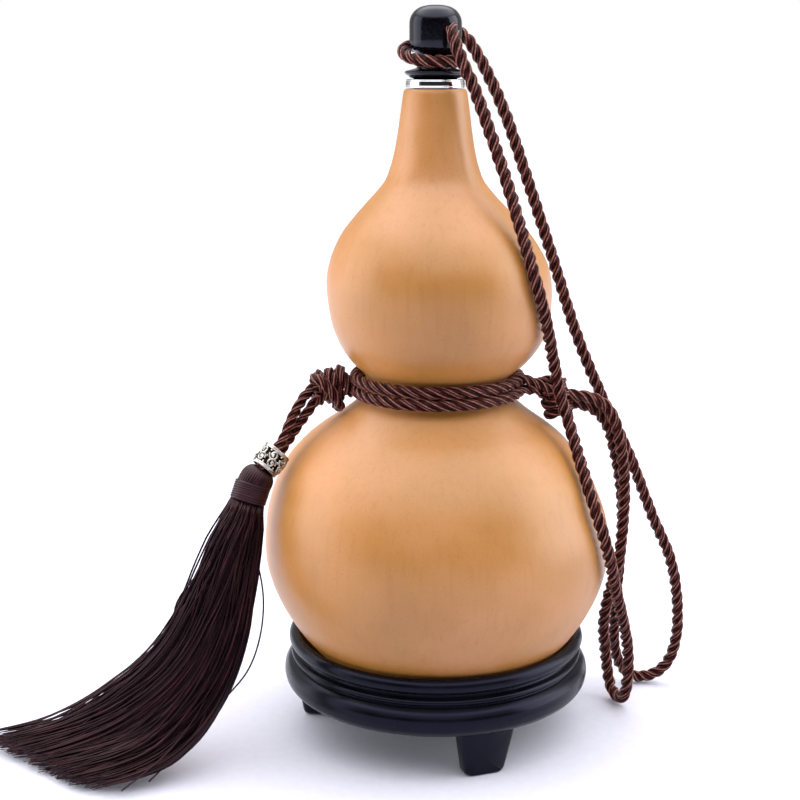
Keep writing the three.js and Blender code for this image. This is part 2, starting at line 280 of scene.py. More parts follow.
print("one step of cord is", round(CORD_LAY / STRANDS, 2), "mm from strand to strand")

# %% [markdown]
# ## Finishes
# A few small tools make every finish: one turns an sRGB hex colour into the linear values that the shader
# wants, one starts a material with its plain, constant settings, one adds a node with its settings and
# links, and one sets the stops of a colour ramp. Each pattern's scale comes from the size of its spots in
# millimetres: one over that size on a laid-out coordinate, which is in millimetres, and per_metre of it on
# an object's own coordinate, which is in metres.


# %% Material tools
def linear(hex_colour):
    """sRGB hex to linear RGBA."""
    channels = [int(hex_colour[i : i + 2], 16) / 255 for i in (1, 3, 5)]
    return [c / 12.92 if c <= 0.04045 else ((c + 0.055) / 1.055) ** 2.4 for c in channels] + [1]


def start_finish(name, **settings):
    """A new material, its node tree and its Principled shader with constant settings."""
    material = bpy.data.materials.new(name)
    material.use_nodes = True
    tree = material.node_tree
    shader = tree.nodes["Principled BSDF"]
    for socket, value in settings.items():
        shader.inputs[socket.replace("_", " ")].default_value = value
    return material, tree, shader


def add_node(tree, kind, settings=None, inputs=None, links=None):
    """One node: its settings, its input values, and links from (node, output) to its inputs."""
    node = tree.nodes.new(kind)
    for key, value in (settings or {}).items():
        setattr(node, key, value)
    for key, value in (inputs or {}).items():
        node.inputs[key].default_value = value
    for key, (source, output) in (links or {}).items():
        tree.links.new(source.outputs[output], node.inputs[key])
    return node


def per_metre(size):
    """Texture scale on an object's own coordinate for spots of that size in millimetres."""
    return 1 / (size * MM)


def colour_stops(node, stops):
    """Sets a colour ramp's stops from (position, hex colour) pairs."""
    ramp = node.color_ramp
    while len(ramp.elements) < len(stops):
        ramp.elements.new(0.5)
    for element, (position, colour) in zip(ramp.elements, stops):
        element.position = position
        element.color = linear(colour)


print("mid grey is", round(linear("#808080")[0], 3), "in linear light")

# %% [markdown]
# ## Satin cord finish
# The cord is rayon, twisted in three strands and dyed dark brown. Rayon yarn is shiny along its fibres, so
# the tops of the strands catch a pinkish-brown light while the valleys between them go nearly black. Both are
# partly painted into the colour: a painted highlight on the crests of the yarns and painted shade in the
# valleys between the strands. The mesh carries a laid-out coordinate in millimetres, across the strand and
# along the cord, and the fibres are a noise stretched along it.

# %% Satin cord
FIBRE = 0.385  # mm from fibre to fibre as drawn; real ones are several times finer and wouldn't show
FIBRE_LEAN = 0.30  # mm that a fibre moves over its strand in each mm of cord
FIBRE_SQUEEZE = 0.27  # of the pattern along the cord, which makes each spot 3.7 times as long as wide


def satin_cord(name, dark, middle, light):
    """Twisted rayon: satin sheen along the fibres, painted shade between the strands and painted highlights
    on the yarns.
    """
    material, tree, shader = start_finish(
        name, Roughness=0.34, IOR=1.53, Specular_IOR_Level=0.15, Specular_Tint=linear("#d49484")
    )
    laid = add_node(tree, "ShaderNodeTexCoord")
    split = add_node(tree, "ShaderNodeSeparateXYZ", links={"Vector": (laid, "UV")})
    lean = add_node(
        tree, "ShaderNodeMath", {"operation": "MULTIPLY"}, {1: FIBRE_LEAN}, {0: (split, "Y")}
    )
    slanted = add_node(
        tree, "ShaderNodeMath", {"operation": "ADD"}, None, {0: (split, "X"), 1: (lean, "Value")}
    )
    stretch = add_node(
        tree, "ShaderNodeMath", {"operation": "MULTIPLY"}, {1: FIBRE_SQUEEZE}, {0: (split, "Y")}
    )
    fibre_at = add_node(
        tree, "ShaderNodeCombineXYZ", None, None, {"X": (slanted, "Value"), "Y": (stretch, "Value")}
    )
    fibres = add_node(
        tree,
        "ShaderNodeTexNoise",
        None,
        {"Scale": 1 / FIBRE, "Detail": 4.0, "Roughness": 0.9},
        {"Vector": (fibre_at, "Vector")},
    )
    # Distance from the middle of the strand: 0 on top, STRAND_FACE mm in the valley. From it, painted shade
    # darkens the valleys.
    across = add_node(
        tree, "ShaderNodeMath", {"operation": "ABSOLUTE"}, None, {0: (split, "X")}
    )
    painted_valley_shade = add_node(
        tree,
        "ShaderNodeMapRange",
        None,
        {"From Min": 1.1, "From Max": STRAND_FACE, "To Min": 0.0, "To Max": 0.55},
        {"Value": (across, "Value")},
    )
    # Each strand's yarns: a painted highlight on the crest and painted shade between, in step with the shape.
    yarn_across = add_node(
        tree,
        "ShaderNodeMath",
        {"operation": "MULTIPLY"},
        {1: math.pi * YARNS / STRAND_FACE},
        {0: (split, "X")},
    )
    yarn_run = add_node(
        tree, "ShaderNodeMath", {"operation": "MULTIPLY"}, {1: 2 * math.pi / YARN_LAY}, {0: (split, "Y")}
    )
    yarn_turn = add_node(
        tree,
        "ShaderNodeMath",
        {"operation": "ADD"},
        None,
        {0: (yarn_across, "Value"), 1: (yarn_run, "Value")},
    )
    yarn = add_node(tree, "ShaderNodeMath", {"operation": "COSINE"}, None, {0: (yarn_turn, "Value")})
    painted_yarn_highlight = add_node(
        tree, "ShaderNodeMath", {"operation": "MULTIPLY"}, {1: 0.15}, {0: (yarn, "Value")}
    )
    yarn_tone = add_node(
        tree,
        "ShaderNodeMath",
        {"operation": "ADD"},
        None,
        {0: (fibres, "Fac"), 1: (painted_yarn_highlight, "Value")},
    )
    tone = add_node(
        tree,
        "ShaderNodeMath",
        {"operation": "SUBTRACT", "use_clamp": True},
        None,
        {0: (yarn_tone, "Value"), 1: (painted_valley_shade, "Result")},
    )
    ramp = add_node(tree, "ShaderNodeValToRGB", None, None, {"Fac": (tone, "Value")})
    # The light end of the ramp is partly a painted highlight on the yarns, the dark end partly painted shade.
    colour_stops(ramp, [(0.26, dark), (0.5, middle), (0.74, light)])
    tree.links.new(ramp.outputs["Color"], shader.inputs["Base Color"])
    bump = add_node(
        tree,
        "ShaderNodeBump",
        None,
        {"Strength": 0.9, "Distance": 0.0002},
        {"Height": (fibres, "Fac")},
    )
    tree.links.new(bump.outputs["Normal"], shader.inputs["Normal"])
    return material


# 090203 is partly painted shade in the valleys, #b07c70 partly a painted highlight on the yarn crests.
cord_satin = satin_cord("brown_rayon_cord", "#090203", "#3d1618", "#b07c70")
print("made", cord_satin.name)

# %% [markdown]
# ## The carry strap
# One cord leaves the right knot, hangs to the table and folds, climbs over the front of the upper lobe,
# goes through the hole in the stopper's knob, drops behind the gourd to the table, and comes back to the
# same knot. These are the route's points from the CAD source, where it is 0.92 m long.

# %% Carry strap
CORD_D = 5.0
ROPE_STEP = 0.62
STRAP_ROUTE = [
    (52.2, -1, 132.2), (58.2, 1, 130.9), (63.8, 2.2, 128), (67.8, 3.2, 122.5), (71.4, 5, 110.5),
    (73.5, 6.8, 95), (73.6, 8, 77), (72.4, 10, 60), (69.6, 12.6, 47), (68.4, 15.4, 34),
    (69.8, 18.6, 21.5), (71.4, 20.6, 11.6), (72.8, 18.8, 5), (74.6, 13.6, 3.1), (76.2, 7.8, 5.6),
    (77, 4.8, 13), (76.6, 3, 27), (72.6, -6, 44), (67.6, -18, 61), (63.8, -28, 75),
    (60.6, -31.4, 86), (57, -30.4, 97), (53, -23, 110), (49, -14.6, 124), (45.6, -12.4, 134.5),
    (42.2, -15.4, 149), (38.6, -23, 164), (34.4, -28.9, 178.5), (29.9, -25.2, 194),
    (24.6, -18.6, 212), (18.4, -14.8, 230), (12.4, -13.4, 246), (8.2, -13.8, 255),
    (5.9, -13, 260.8), (4.8, -10.8, 265.2), (4.3, -7.5, 267), (-1.2, 0, 267), (-6.2, 6.3, 267),
    (-8.2, 10.4, 267), (-7.6, 14.4, 266.9), (-3.8, 17, 266.8), (1.6, 17.3, 266.9),
    (6.8, 16.6, 266.7), (11, 16, 263.6), (17.2, 16, 254), (25, 16.4, 237.6), (33.7, 17.4, 213.8),
    (43.9, 19.9, 184.7), (55.2, 21.8, 151.3), (65.7, 22.8, 126.8), (78, 24.6, 101.6),
    (88.4, 27, 76), (97, 29, 56.4), (101, 31, 37), (101.2, 32.4, 19.5), (97.6, 33.6, 8.2),
    (91, 34, 3.3), (84, 33.4, 3.5), (78, 31.4, 9.8), (75, 28.6, 20), (74.2, 25, 34),
    (74.6, 20.8, 55), (74.8, 17, 78), (73, 14.6, 94), (70, 11.8, 107), (66.6, 8.8, 117.6),
    (61.6, 6.2, 124.4), (55.2, 4.2, 127.6),
]


def lay_cord(name, line, node, diameter=CORD_D, **twist):
    """A twisted cord on that line, in place of the CAD node."""
    vertices, faces, uv = twisted_cord_mesh(line, diameter, **twist)
    piece = new_piece(name, vertices, faces, cord_satin, uv=uv)
    dress(piece, node)
    return piece


# The rope runs a few millimetres further than the CAD's at both ends, into the heart of the knot.
IN_KNOT_START, IN_KNOT_END = (46.6, -1.6, 133.4), (47.4, 2, 128.8)
strap_line = smooth_line([IN_KNOT_START] + STRAP_ROUTE + [IN_KNOT_END], ROPE_STEP)
strap = lay_cord("strap_rope", strap_line, "carry_strap", per_strand=14)
print("strap", round(line_length(strap_line)), "mm,", len(strap.data.polygons), "faces")

# %% [markdown]
# ## The tassel's two cords
# A doubled cord leaves the left knot and goes down into the bead. The two runs lie side by side at the knot
# and one behind the other at the bead, so the offset between them turns along the way. They are thinner than
# the strap because they are pulled into the bead.

# %% Tassel cords
TASSEL_CORD_D = 4.2
PAIR_ROUTE = [
    (-44.4, -2.2, 135.2), (-48.4, -4.4, 131), (-51.2, -6.8, 127.2), (-54.2, -10, 122.4), (-56.8, -13, 117.8),
    (-59.3, -15.4, 114.4), (-62.4, -17.4, 110.8), (-65.6, -19.3, 107.2),
]
PAIR_SPREAD = [
    (1.6, 0.4, -1.5), (1.7, 0.4, -1.6), (1.6, 1, -1.5), (1.2, 1.6, -1.2), (0.7, 2.1, -0.9), (0.6, 2.15, -0.9),
    (0.6, 2.15, -0.9), (0.6, 2.15, -0.9),
]
for number, way in ((1, 0.94), (2, -0.94)):
    run_points = [np.array(p) + way * np.array(o) for p, o in zip(PAIR_ROUTE, PAIR_SPREAD)]
    cord_line = smooth_line(run_points, 0.5)
    lay_cord(f"tassel_rope_{number}", cord_line, f"tassel_cord_{number}", TASSEL_CORD_D)
    print("tassel cord", number, round(line_length(cord_line), 1), "mm")

# %% [markdown]
# ## Cord that the flask holds
# Two turns of cord sit in the gourd's waist, and one sits round the stopper's own waist, under the knob. The
# waist turns are a softer, fatter cord with four strands. Each is a closed turn, because it never moves and
# its crossing is hidden, so it isn't declared as a free cord. The stopper's turn rises on its left, where it
# is hitched round the side of the knob, so it is given by turn, radius and height.

# %% Waist turns and stopper tie
NECK_X = -1.2  # the neck leans this far to the left
WAIST_CORD_D, WAIST_LAY, WAIST_STRANDS = 4.8, 19.5, 4
WAIST_X, WAIST_STEPS = 0.1, 380
WAIST_TURNS = (
    ("waist_rope_upper", "waist_wrap_upper", 30.8, 139.7),
    ("waist_rope_lower", "waist_wrap_lower", 31.1, 135.1),
)
TIE_CORD_D = 4.8
TIE_TURN = [
    (0, 9.8, 255.6), (45, 10.1, 256.4), (80, 11, 258), (115, 12.3, 260.4), (150, 12.4, 261.2),
    (190, 11.8, 259), (235, 10.1, 256.6), (300, 9.8, 255.7),
]


def circle_line(radius, height, middle_x, count):
    """A level circle that starts and ends at the back."""
    turn = math.pi / 2 + np.linspace(0, 2 * math.pi, count, endpoint=False)
    return np.stack(
        [middle_x + radius * np.cos(turn), radius * np.sin(turn), np.full(count, float(height))], 1
    )


for name, node, radius, height in WAIST_TURNS:
    turn_line = circle_line(radius, height, WAIST_X, WAIST_STEPS)
    lay_cord(
        name, turn_line, node, WAIST_CORD_D, closed=True, lay=WAIST_LAY, strands=WAIST_STRANDS, per_strand=12
    )
tie_points = [
    (NECK_X - r * math.sin(math.radians(turn)), -r * math.cos(math.radians(turn)), z)
    for turn, r, z in TIE_TURN[5:] + TIE_TURN[:5]
]
tie_line = smooth_line(tie_points, 0.5, closed=True)[:-1]
lay_cord("stopper_tie_rope", tie_line, "stopper_tie", TIE_CORD_D, closed=True)
print("waist turns and stopper tie laid")

# %% [markdown]
# ## Two knots
# Each end of the waist cord is tied: on the left to the tassel's cords, on the right to the strap. A knot is
# cord pulled tight over itself, so a few short cords are enough for one: a coil of about three turns, the
# cords that come in and go out through it, and a tucked end. All of them are one piece, and they press into
# each other as pulled cord does.


# %% Knot tools
KNOT_CORD_D = 4.3


def coil_line(middle, axis, radius, pitch, turns, start):
    """A short coil about the line through its middle."""
    along = unit(axis)
    side = unit(np.cross((0.0, 1.0, 0.0), along))
    up = np.cross(along, side)
    t = np.linspace(0, turns, int(turns * 40))[:, None]
    a = start + 2 * math.pi * t
    return (
        np.array(middle)
        + along * (t - turns / 2) * pitch
        + radius * (side * np.cos(a) + up * np.sin(a))
    )


def tied_knot(name, node, lines, diameter=KNOT_CORD_D):
    """Several short cords pulled into one knot, as one piece."""
    vertices, faces, uv = [], [], []
    for number, line in enumerate(lines):
        part = twisted_cord_mesh(even_steps(line, 0.5), diameter, start_turn=number)
        faces += [tuple(i + len(vertices) for i in f) for f in part[1]]
        vertices += part[0].tolist()
        uv += part[2].tolist()
    piece = new_piece(name, vertices, faces, cord_satin, uv=uv)
    dress(piece, node)
    return piece


print("a knot's cord is", KNOT_CORD_D, "mm thick when pulled tight")

# %% [markdown]
# ## The left knot and the right knot
# The left knot has three upright turns round the pair of cords that comes from the waist, and a tucked end
# under them. The right knot is a slanting coil; the upper waist cord rises over the gourd's shoulder into
# its top, and the lower one slips in under it.

# %% Knots
left_turns = coil_line((-40.2, -1.6, 136.4), (1, 0.1, 0.22), 4.9, 4.1, 3.1, -1.2)
LEFT_THROUGH = [(-29.6, -3, 138.6), (-35, -2, 137.4), (-41, -1.6, 136.2), (-46, -2.8, 133.4)]
left_through = []  # these two start one above the other, then also spread sideways
for aside, lift in ((-1.6, 0.8), (1.6, -0.8)):
    moved = [(x, y + (aside if number else 0), z + lift) for number, (x, y, z) in enumerate(LEFT_THROUGH)]
    left_through.append(smooth_line(moved, 0.5))
left_tuck = smooth_line(
    [
        (-46.8, -4.6, 139.6), (-43.4, -8.4, 139.4), (-39.6, -9.2, 135.4), (-37.4, -7.4, 131),
        (-36.8, -3.4, 128.4), (-38.6, 0.6, 128.6),
    ],
    0.5,
)
left_knot = tied_knot("left_knot_rope", "left_knot", [left_turns, *left_through, left_tuck])
right_turns = coil_line((45, -0.6, 131.2), (0.3, 0, -0.95), 4.2, 4.2, 3.4, 0.2)
right_in = smooth_line(
    [
        (26.6, -11, 140.2), (31, -8.8, 140.2), (35.2, -6.6, 138.6), (39, -5.2, 136.8), (42.6, -4.7, 134.6),
        (46, -3.4, 130.8),
    ],
    0.5,
)
right_under = smooth_line(
    [
        (28.6, -11.2, 135.2), (32.4, -8.2, 135.9), (36.6, -5.6, 135.4), (41, -2.8, 134.4), (45, -0.6, 133.2),
        (48.6, 0.4, 131.4),
    ],
    0.5,
)
right_knot = tied_knot("right_knot_rope", "right_knot", [right_turns, right_in, right_under])
print("knots", len(left_knot.data.polygons), "and", len(right_knot.data.polygons), "faces")

# %% [markdown]
# ## Dried gourd rind
# The rind is the scraped and polished skin of a ripe bottle gourd. It is a kind of wood: warm tan, a little
# cloudy where the flesh dried unevenly, with fine pores, a few faint streaks that run up towards the stem,
# and a soft wax shine. The cloudiness is large and low in contrast, so it is a slow noise; the pores are a
# fast one that only touches the colour a little. The wax is a thin coat over the wood.

# %% Rind finish
RIND_DEEP, RIND_TAN, RIND_PALE = "#9c692d", "#a87237", "#b57d4e"
CLOUD = 59  # mm from cloud to cloud
STREAK_WIDE, STREAK_LONG = 2.4, 29  # mm
PORE = 0.77  # mm from pore to pore as drawn; real ones are finer and wouldn't show


def polished_rind():
    """Scraped, waxed gourd skin: cloudy tan with pores and faint streaks."""
    material, tree, shader = start_finish(
        "polished_gourd_rind",
        Roughness=0.42,
        IOR=1.5,
        Coat_Weight=0.3,
        Coat_Roughness=0.36,
        Coat_IOR=1.5,
        Subsurface_Weight=0.06,
        Subsurface_Scale=0.002,
    )
    where = add_node(tree, "ShaderNodeTexCoord")
    clouds = add_node(
        tree,
        "ShaderNodeTexNoise",
        None,
        {"Scale": per_metre(CLOUD), "Detail": 3.5, "Roughness": 0.5},
        {"Vector": (where, "Object")},
    )
    tone = add_node(tree, "ShaderNodeValToRGB", None, None, {"Fac": (clouds, "Fac")})
    colour_stops(tone, [(0.32, RIND_DEEP), (0.5, RIND_TAN), (0.68, RIND_PALE)])
    upward = add_node(
        tree,
        "ShaderNodeMapping",
        None,
        {"Scale": (per_metre(STREAK_WIDE), per_metre(STREAK_WIDE), per_metre(STREAK_LONG))},
        {"Vector": (where, "Object")},
    )
    streaks = add_node(
        tree, "ShaderNodeTexNoise", None, {"Scale": 1.0, "Detail": 4.0}, {"Vector": (upward, "Vector")}
    )
    streak_tone = add_node(tree, "ShaderNodeValToRGB", None, None, {"Fac": (streaks, "Fac")})
    colour_stops(streak_tone, [(0.28, "#e2d2c0"), (0.5, "#ffffff")])
    pores = add_node(
        tree,
        "ShaderNodeTexNoise",
        None,
        {"Scale": per_metre(PORE), "Detail": 2.0, "Roughness": 0.7},
        {"Vector": (where, "Object")},
    )
    pore_tone = add_node(tree, "ShaderNodeValToRGB", None, None, {"Fac": (pores, "Fac")})
    colour_stops(pore_tone, [(0.3, "#c9ab8c"), (0.42, "#ffffff")])
    # A faint rubbed mark on the front of the neck.
    from_mark = add_node(
        tree,
        "ShaderNodeVectorMath",
        {"operation": "DISTANCE"},
        {1: (0.001, -0.0165, 0.2165)},
        {0: (where, "Object")},
    )
    ragged = add_node(
        tree, "ShaderNodeMath", {"operation": "MULTIPLY"}, {1: 0.006}, {0: (clouds, "Fac")}
    )
    mark_edge = add_node(
        tree,
        "ShaderNodeMath",
        {"operation": "ADD"},
        None,
        {0: (from_mark, "Value"), 1: (ragged, "Value")},
    )
    mark = add_node(
        tree,
        "ShaderNodeMapRange",
        None,
        {"From Min": 0.004, "From Max": 0.0085, "To Min": 0.12, "To Max": 0.0},
        {"Value": (mark_edge, "Value")},
    )
    with_streaks = add_node(
        tree,
        "ShaderNodeMix",
        {"data_type": "RGBA", "blend_type": "MULTIPLY"},
        {0: 0.3},
        {6: (tone, "Color"), 7: (streak_tone, "Color")},
    )
    with_pores = add_node(
        tree,
        "ShaderNodeMix",
        {"data_type": "RGBA", "blend_type": "MULTIPLY"},
        {0: 0.3},
        {6: (with_streaks, 2), 7: (pore_tone, "Color")},
    )
    with_mark = add_node(
        tree,
        "ShaderNodeMix",
        {"data_type": "RGBA", "blend_type": "MIX"},
        {7: linear("#a5663f")},
        {0: (mark, "Result"), 6: (with_pores, 2)},
    )
    tree.links.new(with_mark.outputs[2], shader.inputs["Base Color"])
    rubbed = add_node(
        tree,
        "ShaderNodeMapRange",
        None,
        {"From Min": 0.3, "From Max": 0.7, "To Min": 0.37, "To Max": 0.47},
        {"Value": (clouds, "Fac")},
    )
    tree.links.new(rubbed.outputs["Result"], shader.inputs["Roughness"])
    bump = add_node(
        tree, "ShaderNodeBump", None, {"Strength": 0.12, "Distance": 0.0002}, {"Height": (pores, "Fac")}
    )
    tree.links.new(bump.outputs["Normal"], shader.inputs["Normal"])
    return material


rind = polished_rind()
print("made", rind.name)

# %% [markdown]
# ## Turned skins
# The gourd, the collar, the stopper, the bead and the stand are all round, so each is a half outline of
# radius and height, spun about its own axis. Spinning gives rings of points; a skin over the rings, with
# one point at each end, makes a closed piece.


# %% Turned skins
def spin_profile(line, sides):
    """Rings of points from a half profile of radius and height, with the ends on the axis."""
    turn = np.linspace(0, 2 * math.pi, sides, endpoint=False)
    rings = np.zeros((len(line), sides, 3))
    rings[..., 0] = line[:, 0][:, None] * np.cos(turn)
    rings[..., 1] = line[:, 0][:, None] * np.sin(turn)
    rings[..., 2] = line[:, 1][:, None]
    return rings, turn


def skin_of_rings(rings, low, high):
    """Vertices and faces of a closed skin over rings, with one point at each end."""
    count, sides = rings.shape[:2]
    vertices = np.vstack([rings.reshape(-1, 3), low, high])
    return vertices, tube_faces(count, sides)


def smooth_profile(points, step):
    """A smooth half outline through points of radius and height."""
    line = smooth_line([(r, 0, z) for r, z in points], step)
    return line[:, (0, 2)]


test_rings, _ = spin_profile(np.array([(1.0, 0.0), (1.0, 1.0)]), 12)
print("a test outline of 2 points spins into rings of", test_rings.shape[1], "points")

# %% [markdown]
# ## The gourd's skin
# A grown thing is never quite round. So after spinning, the outline is moved sideways by the gourd's slight
# lean, and the skin swells and sinks by a fraction of a millimetre. That stops where the cord or the stand
# touches it and at the neck, so that those pieces still fit. The neck is open, with a short bore for the
# stopper.

# %% Gourd skin
GOURD_PROFILE = [
    (0, 22.6), (14, 22.1), (21, 22.3), (29, 23.8), (37.4, 27.6), (46.6, 33.4), (52.4, 39.6),
    (58, 48), (62.8, 58.5), (65.2, 67), (65.9, 75), (65.4, 82.5), (63.8, 90), (60.3, 99.5),
    (57.4, 105), (53.6, 110.4), (48.8, 115.6), (43.3, 120.2), (37.6, 124.2), (33.2, 127.6),
    (29.9, 130.6), (28, 133.2), (27.1, 135.6), (27.1, 138), (27.6, 140.2), (28.6, 142),
    (30.4, 143.6), (32.3, 145.2), (35.2, 148.7), (38, 153.4), (40, 158.8), (41.1, 164.6),
    (41.7, 171), (41.6, 177), (40.4, 182.6), (38, 188.2), (34.5, 194), (30.2, 199.2),
    (25.6, 204.2), (21.4, 208.8), (18.2, 213), (16.4, 217.6), (15.1, 222.6), (14.1, 228),
    (13.1, 234.4), (12.3, 240), (11.6, 244.6), (11.3, 245.7), (10.8, 246),
]
GOURD_LEAN = [
    (22, 0.6), (50, 0.5), (68, 0), (82, 0), (95, -0.7), (109, -1), (118, -0.5), (130, 0),
    (145, 0.7), (155, 1.1), (170, 0.9), (183, 0.5), (194, -0.5), (205, -1.2), (225, -1.1),
    (246, NECK_X),
]
GOURD_SIDES = 224
WAIST_Z = 137.5
RIM_Z = 246.0
BORE_R, BORE_END_Z = 8.2, 233.0

rind_line = smooth_profile(GOURD_PROFILE, 1.1)
rind_line = rind_line[rind_line[:, 0] > 0.8]
rings, turn = spin_profile(rind_line, GOURD_SIDES)
height = rings[..., 2]
free = np.clip((np.abs(height - WAIST_Z) - 9) / 12, 0, 1) * np.clip((height - 44) / 12, 0, 1)
free *= np.clip((240 - height) / 20, 0, 1)
swell = 0.34 * np.sin(2 * turn + 0.8 + height * 0.011) + 0.2 * np.sin(3 * turn - 1.3 + height * 0.03)
swell += 0.12 * np.sin(5 * turn + height * 0.055) + 0.14 * np.sin(height * 0.09 + 2 * np.cos(turn))
outward = np.stack([np.cos(turn), np.sin(turn)], -1)[None]
rings[..., :2] += (swell * free)[..., None] * outward
lean = np.interp(height, *np.array(GOURD_LEAN).T)
rings[..., 0] += lean
bore_rings, _ = spin_profile(np.array([(BORE_R, RIM_Z), (BORE_R, BORE_END_Z)]), GOURD_SIDES)
bore_rings[..., 0] += NECK_X
gourd_skin = skin_of_rings(
    np.concatenate([rings, bore_rings]), (0.6, 0, rind_line[0, 1]), (NECK_X, 0, BORE_END_Z)
)
gourd = new_piece("gourd_skin", *gourd_skin, rind)
dress(gourd, "gourd")
print("gourd", len(gourd.data.polygons), "faces")

# %% [markdown]
# ## Polished steel
# The collar on the cut neck is stainless steel, turned and polished like a mirror. Its look is almost only
# what it reflects, so the finish is plain metal with very low roughness, plus hair-thin turning marks that
# run round it. A noise that is squeezed along the height gives those.

# %% Steel finish
MARK_WIDE, MARK_LONG = 0.167, 33  # mm; real turning marks are finer still and wouldn't show


def polished_steel():
    """Turned and polished stainless steel, with hair-thin marks that run round it."""
    material, tree, shader = start_finish(
        "polished_stainless_steel", Base_Color=linear("#d9d9dc"), Metallic=1.0, Roughness=0.08
    )
    where = add_node(tree, "ShaderNodeTexCoord")
    flat = add_node(
        tree,
        "ShaderNodeMapping",
        None,
        {"Scale": (per_metre(MARK_LONG), per_metre(MARK_LONG), per_metre(MARK_WIDE))},
        {"Vector": (where, "Object")},
    )
    marks = add_node(
        tree, "ShaderNodeTexNoise", None, {"Scale": 1.0, "Detail": 3.0}, {"Vector": (flat, "Vector")}
    )
    worn = add_node(
        tree,
        "ShaderNodeMapRange",
        None,
        {"From Min": 0.3, "From Max": 0.7, "To Min": 0.05, "To Max": 0.16},
        {"Value": (marks, "Fac")},
    )
    tree.links.new(worn.outputs["Result"], shader.inputs["Roughness"])
    bump = add_node(
        tree, "ShaderNodeBump", None, {"Strength": 0.06, "Distance": 0.00005}, {"Height": (marks, "Fac")}
    )
    tree.links.new(bump.outputs["Normal"], shader.inputs["Normal"])
    return material


steel = polished_steel()
print("made", steel.name)

# %% [markdown]
# ## Turned pieces
# A turned piece starts as corner points. No real edge is perfectly sharp, and a sharp one catches no light,
# so each corner is first eased with a small curve. An outline that starts off the axis is a ring, whose
# outline closes on itself; one that starts on the axis is a solid piece.


# %% Turned pieces
def turned_piece(name, node, profile, material, middle_x=0.0, sides=128):
    """A turned piece from corner points (radius, height). A profile that starts off the axis is a ring."""
    rings, _ = spin_profile(np.array(profile, float), sides)
    rings[..., 0] += middle_x
    if profile[0][0] > 0:
        faces = tube_faces(len(profile), sides, closed=True)
        piece = new_piece(name, rings.reshape(-1, 3), faces, material)
    else:
        low, high = (middle_x, 0, profile[0][1]), (middle_x, 0, profile[-1][1])
        piece = new_piece(name, *skin_of_rings(rings[1:-1], low, high), material)
    dress(piece, node)
    return piece


def eased(corners, radius, steps=4):
    """The same outline with each corner rounded to about that radius."""
    points = [np.array(c, float) for c in corners]
    out = [points[0]]
    for before, here, after in zip(points, points[1:], points[2:]):
        a = min(radius, 0.45 * np.linalg.norm(here - before))
        b = min(radius, 0.45 * np.linalg.norm(after - here))
        start, end = here + unit(before - here) * a, here + unit(after - here) * b
        for t in np.linspace(0, 1, steps + 1):
            out.append((1 - t) ** 2 * start + 2 * t * (1 - t) * here + t**2 * end)
    out.append(points[-1])
    return [tuple(p) for p in out]


print("an eased corner has", len(eased([(0, 0), (5, 0), (5, 5)], 1)) - 2, "points")

# %% [markdown]
# ## The mouth collar
# The collar is a short ring over the rim of the neck. Its side is very slightly conical, with a fine groove
# near each edge from the lathe. Those small steps break the reflections into the bright and dark bands that
# tell the eye it is polished metal.

# %% Collar
COLLAR_PROFILE = [
    (8.2, 247.8), (8.2, 246.3), (10.7, 246.3), (10.8, 246.8), (10.66, 246.95), (10.78, 247.1),
    (10.62, 248.75), (10.5, 248.88), (10.58, 249), (10.4, 249.4), (8.2, 249.4), (8.2, 247.8),
]
collar = turned_piece(
    "steel_collar", "mouth_collar", eased(COLLAR_PROFILE, 0.22, 3)[:-1], steel, NECK_X
)
print("collar", len(collar.data.polygons), "faces")

# %% [markdown]
# ## Moulded plastic
# The stopper is moulded in black plastic. It was polished in the mould, so it shines softly, with a little
# waviness and fine dust marks: one slow noise bends the surface by a hair, and one fast one dulls it here
# and there.

# %% Plastic finish
DUST = 1.11  # mm from mark to mark as drawn; real dust is finer and wouldn't show
RIPPLE = 8.3  # mm from wave to wave


def moulded_plastic():
    """Glossy black moulded plastic: cool grey sheen, faint ripple and dust."""
    material, tree, shader = start_finish(
        "black_moulded_plastic",
        Roughness=0.16,
        IOR=1.49,
        Specular_IOR_Level=0.4,
        Specular_Tint=linear("#d8d8f4"),
    )
    where = add_node(tree, "ShaderNodeTexCoord")
    dust = add_node(
        tree,
        "ShaderNodeTexNoise",
        None,
        {"Scale": per_metre(DUST), "Detail": 4.0},
        {"Vector": (where, "Object")},
    )
    tone = add_node(tree, "ShaderNodeValToRGB", None, None, {"Fac": (dust, "Fac")})
    colour_stops(tone, [(0.5, "#050508"), (0.8, "#0d0d12")])
    tree.links.new(tone.outputs["Color"], shader.inputs["Base Color"])
    scuffed = add_node(
        tree,
        "ShaderNodeMapRange",
        None,
        {"From Min": 0.35, "From Max": 0.7, "To Min": 0.13, "To Max": 0.22},
        {"Value": (dust, "Fac")},
    )
    tree.links.new(scuffed.outputs["Result"], shader.inputs["Roughness"])
    ripple = add_node(
        tree,
        "ShaderNodeTexNoise",
        None,
        {"Scale": per_metre(RIPPLE), "Detail": 1.0},
        {"Vector": (where, "Object")},
    )
    bump = add_node(
        tree, "ShaderNodeBump", None, {"Strength": 0.1, "Distance": 0.0002}, {"Height": (ripple, "Fac")}
    )
    tree.links.new(bump.outputs["Normal"], shader.inputs["Normal"])
    return material


plastic = moulded_plastic()
print("made", plastic.name)

# %% [markdown]
# ## The stopper
# It is one turned moulding: a plug in the neck, a thin flange over the collar, a waist for the cord, and a
# domed knob to pull it by.

